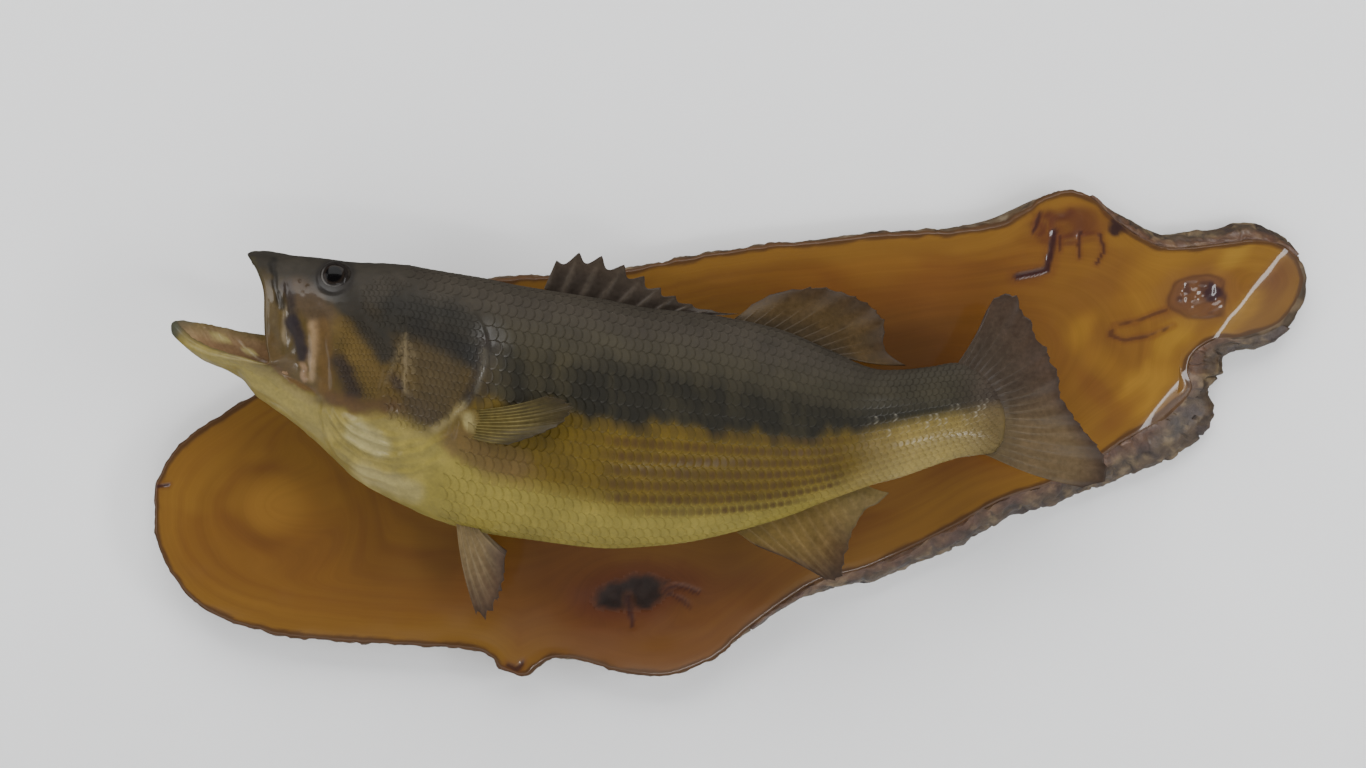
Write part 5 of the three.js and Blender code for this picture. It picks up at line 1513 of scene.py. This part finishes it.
def make_board():
    loops, loop_t = board_loops()
    count = len(loop_t)

    def between(loop, rows):
        lower = loop[:BOARD_COLUMNS]
        upper = np.concatenate(
            [loop[:1], loop[BOARD_COLUMNS:][::-1], loop[BOARD_COLUMNS - 1 : BOARD_COLUMNS]]
        )
        s = np.linspace(0, 1, rows)[1:-1, None, None]
        return lower[None, 1:-1] + (upper - lower)[None, 1:-1] * s

    front = between(loops[0], BOARD_ROWS)
    fx, fz = front[..., 0], front[..., 2]
    outline = loops[FACE_LOOPS - 1][:, [0, 2]]
    edge, soft_edge = edge_distances(fx, fz, outline)
    loop_x, loop_z = loops[:FACE_LOOPS, :, 0], loops[:FACE_LOOPS, :, 2]
    loop_edge, loop_soft = edge_distances(loop_x, loop_z, outline)
    relief = board_relief(fx, fz) * smooth(0, 6, edge)
    front[..., 1] = BOARD_FRONT + facet_height(fx, fz) - relief
    loop_relief = board_relief(loop_x, loop_z) * smooth(0, 6, loop_edge)
    loops[:FACE_LOOPS, :, 1] -= loop_relief
    back = between(loops[-1], BACK_ROWS)
    points = np.concatenate([loops.reshape(-1, 3), front.reshape(-1, 3), back.reshape(-1, 3)])
    quads = [grid_quads(len(loops), count, closed=True)]
    triangles = []

    def cap(loop_start, inner_start, rows, turned):
        inner = inner_start + np.arange((rows - 2) * (BOARD_COLUMNS - 2)).reshape(rows - 2, -1)
        lower = loop_start + np.arange(1, BOARD_COLUMNS - 1)
        upper = loop_start + np.arange(count - 1, BOARD_COLUMNS - 1, -1)
        sheet = np.vstack([lower, inner, upper])
        cells = np.stack([sheet[:-1, :-1], sheet[:-1, 1:], sheet[1:, 1:], sheet[1:, :-1]], axis=-1)
        left, right = np.full(rows - 1, loop_start), np.full(rows - 1, loop_start + BOARD_COLUMNS - 1)
        ends = [
            np.stack([left, sheet[:-1, 0], sheet[1:, 0]], axis=-1),
            np.stack([right, sheet[1:, -1], sheet[:-1, -1]], axis=-1),
        ]
        step = -1 if turned else 1
        quads.append(cells.reshape(-1, 4)[:, ::step])
        triangles.extend(end[:, ::step] for end in ends)

    front_start = len(loops) * count
    cap(0, front_start, BOARD_ROWS, True)
    cap(count * (len(loops) - 1), front_start + front.shape[0] * front.shape[1], BACK_ROWS, False)
    face_colours, ring = board_colours(fx, fz, edge, soft_edge)
    rim_colours, rim_ring = board_colours(loop_x, loop_z, loop_edge, loop_soft)
    lx, ly, lz = parts(loops)
    depth = (ly - BOARD_FRONT) / BOARD_THICKNESS
    pale = smooth(0.1, 0.6, rough(lx, ly, lz, 6, 3, 68)) * smooth(0.05, 0.2, depth)
    crust = smooth(0.0, 0.5, rough(lx, ly, lz, 9, 3, 93)) * smooth(0.05, 0.2, depth)
    side_colours = coated(
        plain(depth.shape, WOOD_RIM),
        (smooth(0.1, 0.4, depth), (92, 76, 56)),
        (0.6 * pale, (128, 114, 92)),
        (0.75 * crust, (48, 38, 29)),
    )
    side_colours[:FACE_LOOPS] = rim_colours
    rings = np.zeros(depth.shape)
    rings[:FACE_LOOPS] = rim_ring
    bx, bz = back[..., 0], back[..., 2]
    back_ring = 0.35 * bz + 6 * noise(bx / 5, 0, bz, 18, 94)
    back_bands = 0.35 * (0.5 + 0.5 * np.sin(back_ring))
    back_colours = coated(plain(bx.shape, (168, 122, 72)), (back_bands, (128, 84, 44)))
    colours = [part.reshape(-1, 3) for part in (side_colours, face_colours, back_colours)]
    rings = np.concatenate([rings.ravel(), ring.ravel(), 20 + bz.ravel() / 2])
    grain = np.stack([rings / 1000, points[:, 0] / 1000, points[:, 1] / 1000], axis=-1)
    board = make_piece(
        "board_grain",
        points,
        np.concatenate(quads),
        np.concatenate(colours),
        np.concatenate(triangles),
        grain,
        gloss=1 - 0.9 * smooth(1.25, 0.9, knot_place(points[:, 0], points[:, 2])),
    )
    bare = np.zeros(len(board.data.polygons), np.int32)
    rows = BARE_EDGE_FROM - FACE_LOOPS + 1
    rim = loops[0]
    rounding = np.tile((rim[:, 0] < VARNISHED_EDGE_FROM) | (rim[:, 2] > VARNISHED_EDGE_BELOW), rows)
    bare[count * (FACE_LOOPS - 1) : count * BARE_EDGE_FROM] = rounding
    bare[count * BARE_EDGE_FROM : count * (len(loops) - 1)] = 1
    edge_quads, face_quads, back_quads = quads
    middle = points[face_quads].mean(axis=1)
    back_from = len(edge_quads) + len(face_quads)
    bare[len(edge_quads) : back_from] = knot_place(middle[:, 0], middle[:, 2]) < BARE_KNOT
    bare[back_from : back_from + len(back_quads)] = 1
    bare[-2 * (BACK_ROWS - 1) :] = 1  # the triangles at the back's two ends
    board.data.polygons.foreach_set("material_index", bare)
    return board


BARK_ROWS = 26  # to each row of the outline
BARK_COLUMNS = 40


def make_bark(name):
    """A run of thick cracked bark down the sloping edge of the board."""
    first, last = BARK_RUNS[name]
    rows = int((last - first) * BARK_ROWS)
    t = np.linspace(first, last, rows)
    x, z, reveal, out_x, out_z = outline_at(t)
    bark = bark_at(t)
    wood = np.maximum(0, reveal - bark)
    rim = wood * 1.5 / BOARD_THICKNESS + 1.3
    shoulder = reveal * 0.5 + bark * 0.35
    # y and reach from the varnished rim round the bark to the back
    profile = [
        (-25.9, rim - 2.2), (-27.1, rim - 0.6), (-26.2, rim + 0.8),
        (-19.0, shoulder + 0.6), (-7.0, reveal + 0.3), (0.0, reveal - 0.3 * bark),
    ]
    keys = np.linspace(0, 1, len(profile))
    u = np.linspace(0, 1, BARK_COLUMNS)
    levels = [level for level, _ in profile]
    reaches = np.transpose([reach for _, reach in profile])
    outer = [interpolate(np.column_stack([keys, levels, reach]), u)[:, 1:] for reach in reaches]
    y, distance = np.moveaxis(outer, -1, 0)
    px = x[:, None] + out_x[:, None] * distance
    pz = z[:, None] + out_z[:, None] * distance
    fade = smooth(0, 0.6, np.minimum(t - first, last - t))[:, None] * smooth(0.04, 0.2, u)[None, :]
    chunks = 2.6 * rough(px, y, pz, 13, 2, 101) + 1.1 * rough(px, y, pz, 4.5, 2, 102)
    furrow = np.abs(noise(px * 0.7, y, pz, 8, 103))
    chunks = chunks - 2.4 * smooth(0.16, 0.0, furrow)
    size = np.clip(reveal[:, None] / 18, 0.35, 1)
    distance = distance + chunks * fade * size
    y = y + 0.6 * noise(px, y, pz, 5, 104) * fade * smooth(1, 0.85, u)[None, :]
    px = x[:, None] + out_x[:, None] * distance
    pz = z[:, None] + out_z[:, None] * distance
    fallen = BOARD_FRONT + facet_height(px, pz)
    y = np.minimum(0, np.maximum(y, fallen + 0.2 * (y > BOARD_FRONT)))
    inner_u = np.linspace(1, 0, 6)[1:-1]
    inner_distance = (wood[:, None] * inner_u[None, :]) - 1.5
    inner_y = BOARD_FRONT + BOARD_THICKNESS * inner_u[None, :] + 0 * wood[:, None]
    ix = x[:, None] + out_x[:, None] * inner_distance
    iz = z[:, None] + out_z[:, None] * inner_distance
    inner_y = np.minimum(-0.2, np.maximum(inner_y, BOARD_FRONT + facet_height(ix, iz) + 1.5))
    outside = np.stack([px, y, pz], axis=-1)
    ring = np.concatenate([outside, np.stack([ix, inner_y, iz], axis=-1)], axis=1)
    around = ring.shape[1]
    points = np.concatenate([ring.reshape(-1, 3), [ring[0].mean(axis=0), ring[-1].mean(axis=0)]])
    fx, fy, fz = points.T
    deep = 0.8 * smooth(0.14, 0.02, np.abs(noise(fx * 0.7, fy, fz, 8, 103)))
    colours = coated(
        plain(fx.shape, (68, 51, 31)),
        (smooth(-0.1, 0.6, rough(fx, fy, fz, 7, 3, 105)), (103, 85, 57)),
        (smooth(0.1, 0.6, rough(fx, fy, fz, 11, 3, 106)), (52, 36, 27)),
        (deep, (38, 27, 20)),
        (0.5 * smooth(-20, -26, fy), (96, 58, 34)),
    )
    quads, triangles = tube_faces(rows, around)
    return make_piece(name + "_crust", points, quads, colours, triangles)


# ---------------------------------------------------------------- materials

NOISE_LOW, NOISE_HIGH = 0.3, 0.7  # between which a noise texture mostly lies


class Shader:
    """A node material with one Principled shader, built step by step."""

    def __init__(self, name, **values):
        self.material = bpy.data.materials.new(name)
        self.material.use_nodes = True
        self.nodes = self.material.node_tree.nodes
        self.links = self.material.node_tree.links
        self.surface = self.nodes["Principled BSDF"]
        self.lead(**values)

    def lead(self, **values):
        """Values or nodes for the shader's own sockets, named with _ for each space."""
        for name, value in values.items():
            self.feed(self.surface.inputs[name.replace("_", " ")], value)

    def feed(self, socket, value):
        if isinstance(value, bpy.types.NodeSocket):
            self.links.new(value, socket)
        else:
            socket.default_value = value

    def add(self, kind, inputs, output=0, **settings):
        """The output of a new node."""
        node = self.nodes.new("ShaderNode" + kind)
        for key, value in settings.items():
            setattr(node, key, value)
        for socket, value in inputs.items():
            self.feed(node.inputs[socket], value)
        return node.outputs[output]

    def attribute(self, name, output="Color"):
        return self.add("Attribute", {}, output, attribute_name=name)

    def noise(self, scale, vector=None, detail=3.0, roughness=0.55):
        vector = vector or self.add("TexCoord", {}, "Object")
        inputs = {"Vector": vector, "Scale": scale, "Detail": detail, "Roughness": roughness}
        return self.add("TexNoise", inputs, "Fac")

    def fit(self, value, low, high, from_low=NOISE_LOW, from_high=NOISE_HIGH):
        """The value, which by default is a noise, fitted between low and high."""
        ends = {"From Min": from_low, "From Max": from_high, "To Min": low, "To Max": high}
        return self.add("MapRange", {"Value": value, **ends}, "Result")

    def product(self, first, second):
        return self.add("Math", {0: first, 1: second}, operation="MULTIPLY")

    def shaded(self, factor):
        """The mesh's own colours with their value multiplied by a factor."""
        return self.add("HueSaturation", {"Color": self.attribute("Col"), "Value": factor}, "Color")

    def bump(self, height, strength, distance, normal=None):
        inputs = {"Height": height, "Strength": strength, "Distance": distance}
        if normal is not None:
            inputs["Normal"] = normal
        return self.add("Bump", inputs, "Normal")


def skin_material(name, grain, coat):
    """The gloss of a place, 0 to 1, leads both its roughness and its share of varnish."""
    shader = Shader(name, Coat_Roughness=0.12, Specular_IOR_Level=0.2)
    fine = shader.noise(grain)
    shade = shader.product(shader.fit(fine, 0.7, 0.86), shader.fit(shader.noise(60.0), 0.92, 1.08))
    gloss = shader.attribute("gloss", "Fac")
    satin = shader.fit(gloss, 0.7, 0.36, 0.0, 1.0)
    pits = shader.bump(fine, 0.25, 0.0006)
    shader.lead(
        Base_Color=shader.shaded(shade),
        Coat_Weight=shader.fit(gloss, 0.0, coat, 0.0, 1.0),
        Roughness=shader.product(satin, shader.fit(fine, 0.88, 1.15)),
        Normal=shader.bump(shader.noise(grain * 3), 0.2, 0.0002, pits),
    )
    return shader.material


def fin_material():
    shader = Shader("fin_membrane", Coat_Weight=0.06, Coat_Roughness=0.25, Specular_IOR_Level=0.15)
    fine = shader.noise(420.0)
    shader.lead(
        Base_Color=shader.shaded(shader.fit(fine, 0.66, 0.88)),
        Roughness=shader.fit(fine, 0.34, 0.52),
        Normal=shader.bump(fine, 0.2, 0.0003),
    )
    return shader.material


def eye_material():
    shader = Shader(
        "eye_glass", Roughness=0.2, Specular_IOR_Level=0.05, Coat_Weight=0.1, Coat_Roughness=0.04
    )
    shader.lead(Base_Color=shader.shaded(shader.fit(shader.noise(900.0), 0.85, 1.15)))
    return shader.material


def lining_material():
    shader = Shader("mouth_lining", Coat_Weight=0.4, Coat_Roughness=0.15)
    fine = shader.noise(500.0)
    shader.lead(
        Base_Color=shader.shaded(shader.fit(fine, 0.85, 1.12)),
        Roughness=shader.fit(fine, 0.3, 0.5),
        Normal=shader.bump(fine, 0.4, 0.0005),
    )
    return shader.material


def wood_material():
    """The grain runs along the rings, whose number is the first part of the grain's place."""
    shader = Shader("varnished_wood", Coat_Roughness=0.06, Specular_IOR_Level=0.1)
    grain = shader.attribute("grain", "Vector")
    lines = shader.add("Mapping", {"Vector": grain, "Scale": (900.0, 14.0, 60.0)})
    bands = shader.add("Mapping", {"Vector": grain, "Scale": (150.0, 5.0, 12.0)})
    fibre = shader.noise(1.0, lines, 4.0, 0.6)
    band = shader.noise(1.0, bands, 3.0, 0.5)
    shade = shader.product(shader.fit(fibre, 0.95, 1.04), shader.fit(band, 0.95, 1.04))
    shader.lead(
        Base_Color=shader.shaded(shade),
        Coat_Weight=shader.fit(shader.attribute("gloss", "Fac"), 0.0, 0.85, 0.0, 1.0),
        Roughness=shader.fit(shader.noise(700.0, None, 2.0), 0.3, 0.5),
        Normal=shader.bump(fibre, 0.12, 0.0002),
        Coat_Normal=shader.bump(shader.noise(28.0, None, 1.0), 0.25, 0.001),
    )
    return shader.material


def bare_wood_material():
    shader = Shader("bare_wood", Roughness=0.7, Specular_IOR_Level=0.3)
    coarse = shader.noise(140.0, None, 5.0, 0.6)
    shader.lead(
        Base_Color=shader.shaded(shader.fit(coarse, 0.75, 1.2)),
        Normal=shader.bump(coarse, 0.5, 0.001),
    )
    return shader.material


def bark_material():
    shader = Shader("bark_crust", Coat_Weight=0.35, Coat_Roughness=0.25)
    coarse = shader.noise(160.0, None, 6.0, 0.65)
    fine = shader.noise(600.0, None, 4.0)
    shader.lead(
        Base_Color=shader.shaded(shader.fit(coarse, 0.55, 1.25)),
        Roughness=shader.fit(coarse, 0.8, 0.5),
        Normal=shader.bump(fine, 0.5, 0.0005, shader.bump(coarse, 0.7, 0.0016)),
    )
    return shader.material


def paint_material():
    """Pale paint of the wall and the floor; the wall is clear from behind."""
    shader = Shader("pale_paint", Roughness=0.75)
    tones = {0: shader.noise(9.0), 6: (0.9, 0.905, 0.91, 1), 7: (0.94, 0.945, 0.95, 1)}
    shader.lead(Base_Color=shader.add("Mix", tones, 2, data_type="RGBA"))
    front, back = shader.surface.outputs[0], shader.add("BsdfTransparent", {})
    from_behind = shader.add("NewGeometry", {}, "Backfacing")
    choice = shader.add("MixShader", {0: from_behind, 1: front, 2: back})
    shader.feed(shader.nodes["Material Output"].inputs["Surface"], choice)
    return shader.material


# ---------------------------------------------------------------- the pieces


def dress(piece, material, slot, *nodes):
    piece.data.materials.append(material)
    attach(piece, "root")
    if nodes:
        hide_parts(*nodes)


FLESH = (
    "upper_jaw", "lower_jaw", "head", "trunk_front", "trunk_rear", "tail_stalk",
    "gill_cover_near", "gill_cover_far",
)
skin_look = skin_material("fish_skin", 520.0, 0.6)
scale_look = skin_material("fish_scales", 760.0, 0.4)
dress(make_skin(), skin_look, "trunk_skin", *FLESH)

SIDES = {True: SideMap(True), False: SideMap(False)}
BIG_SCALE = scale_template(across=7, along=6)
SMALL_SCALE = scale_template(across=5, along=4)
for near in (True, False):
    word = "near" if near else "far"
    trunk = roots_kept(SIDES[near], near, trunk_roots(SIDES[near]), on_trunk)
    ahead = trunk[:, 0] <= SCALES_SPLIT
    for part, chosen in (("front", trunk[ahead]), ("rear", trunk[~ahead])):
        dress(make_scales(f"scales_{word}_{part}", near, chosen, BIG_SCALE), scale_look, "trunk_skin")
    small = head_roots(SIDES[near], near)
    dress(make_scales(f"scales_{word}_head", near, small, SMALL_SCALE), scale_look, "head_skin")

eye_look = eye_material()
dress(make_eye("eyeball_near", True), eye_look, "eyes", "eye_near")
dress(make_eye("eyeball_far", False), eye_look, "eyes", "eye_far")
dress(make_tongue(), lining_material(), "mouth_lining", "tongue")

fin_look = fin_material()
for fin_name in FINS:
    dress(make_fin(fin_name), fin_look, "fins", fin_name)

board = make_board()
dress(board, wood_material(), "board", "board_wood")
board.data.materials.append(bare_wood_material())
bark_look = bark_material()
for bark_name in BARK_RUNS:
    dress(make_bark(bark_name), bark_look, "bark", bark_name)

# ---------------------------------------------------------------- stage, light, camera


def make_stage(name, corners, material):
    mesh = bpy.data.meshes.new(name)
    mesh.from_pydata(corners, [], [(0, 1, 2, 3)])
    piece = bpy.data.objects.new(name, mesh)
    bpy.context.scene.collection.objects.link(piece)
    mesh.materials.append(material)
    return piece


WALL_Y = 0.0006
FLOOR_Z = -0.62
STAGE_REACH = 4
paint = paint_material()
ends = (-STAGE_REACH, STAGE_REACH)
low_corners = [(x, WALL_Y, -2.5) for x in ends]
high_corners = [(x, WALL_Y, 3) for x in reversed(ends)]
wall = make_stage("wall", low_corners + high_corners, paint)
wall.visible_shadow = False
wall.visible_diffuse = False
wall.visible_glossy = False
front_corners = [(x, -STAGE_REACH, FLOOR_Z) for x in ends]
rear_corners = [(x, STAGE_REACH, FLOOR_Z) for x in reversed(ends)]
make_stage("floor", front_corners + rear_corners, paint)


def area_light(name, place, aim, width, height, power, colour=(1, 1, 1)):
    light = bpy.data.lights.new(name, "AREA")
    light.shape = "RECTANGLE"
    light.size, light.size_y, light.energy, light.color = width, height, power, colour
    lamp = bpy.data.objects.new(name, light)
    lamp.location = place
    direction = [a - p for a, p in zip(aim, place)]
    yaw = math.atan2(-direction[0], direction[1])
    pitch = math.atan2(math.hypot(direction[0], direction[1]), -direction[2])
    lamp.rotation_euler = (pitch, 0, yaw)
    bpy.context.scene.collection.objects.link(lamp)


area_light("ceiling", (-0.2, -1.5, 2.1), (0, -0.05, 0), 3.2, 2.2, 95, (1.0, 0.995, 0.985))
area_light("window", (1.4, -1.25, -0.12), (0.05, -0.05, 0.02), 0.4, 1.0, 13, (0.98, 0.99, 1.0))
area_light("doorway", (-1.5, -0.95, 0.25), (0, -0.05, 0), 0.7, 1.2, 8, (1.0, 1.0, 1.0))
area_light("low_window", (0.15, -1.35, -0.53), (0.0, -0.1, 0.0), 0.5, 0.1, 2.4, (1.0, 1.0, 1.0))

world = bpy.data.worlds.new("soft_room")
world.use_nodes = True
background = world.node_tree.nodes["Background"]
background.inputs["Color"].default_value = (0.93, 0.95, 1.0, 1)
background.inputs["Strength"].default_value = 0.14
bpy.context.scene.world = world

camera_data = bpy.data.cameras.new("camera")
camera_data.sensor_width = 36
camera_data.lens = 49.4
camera = bpy.data.objects.new("camera", camera_data)
camera.location = (-0.0326, -1.228, 0.0307)
camera.rotation_euler = (math.pi / 2, 0, 0)
bpy.context.scene.collection.objects.link(camera)
bpy.context.scene.camera = camera
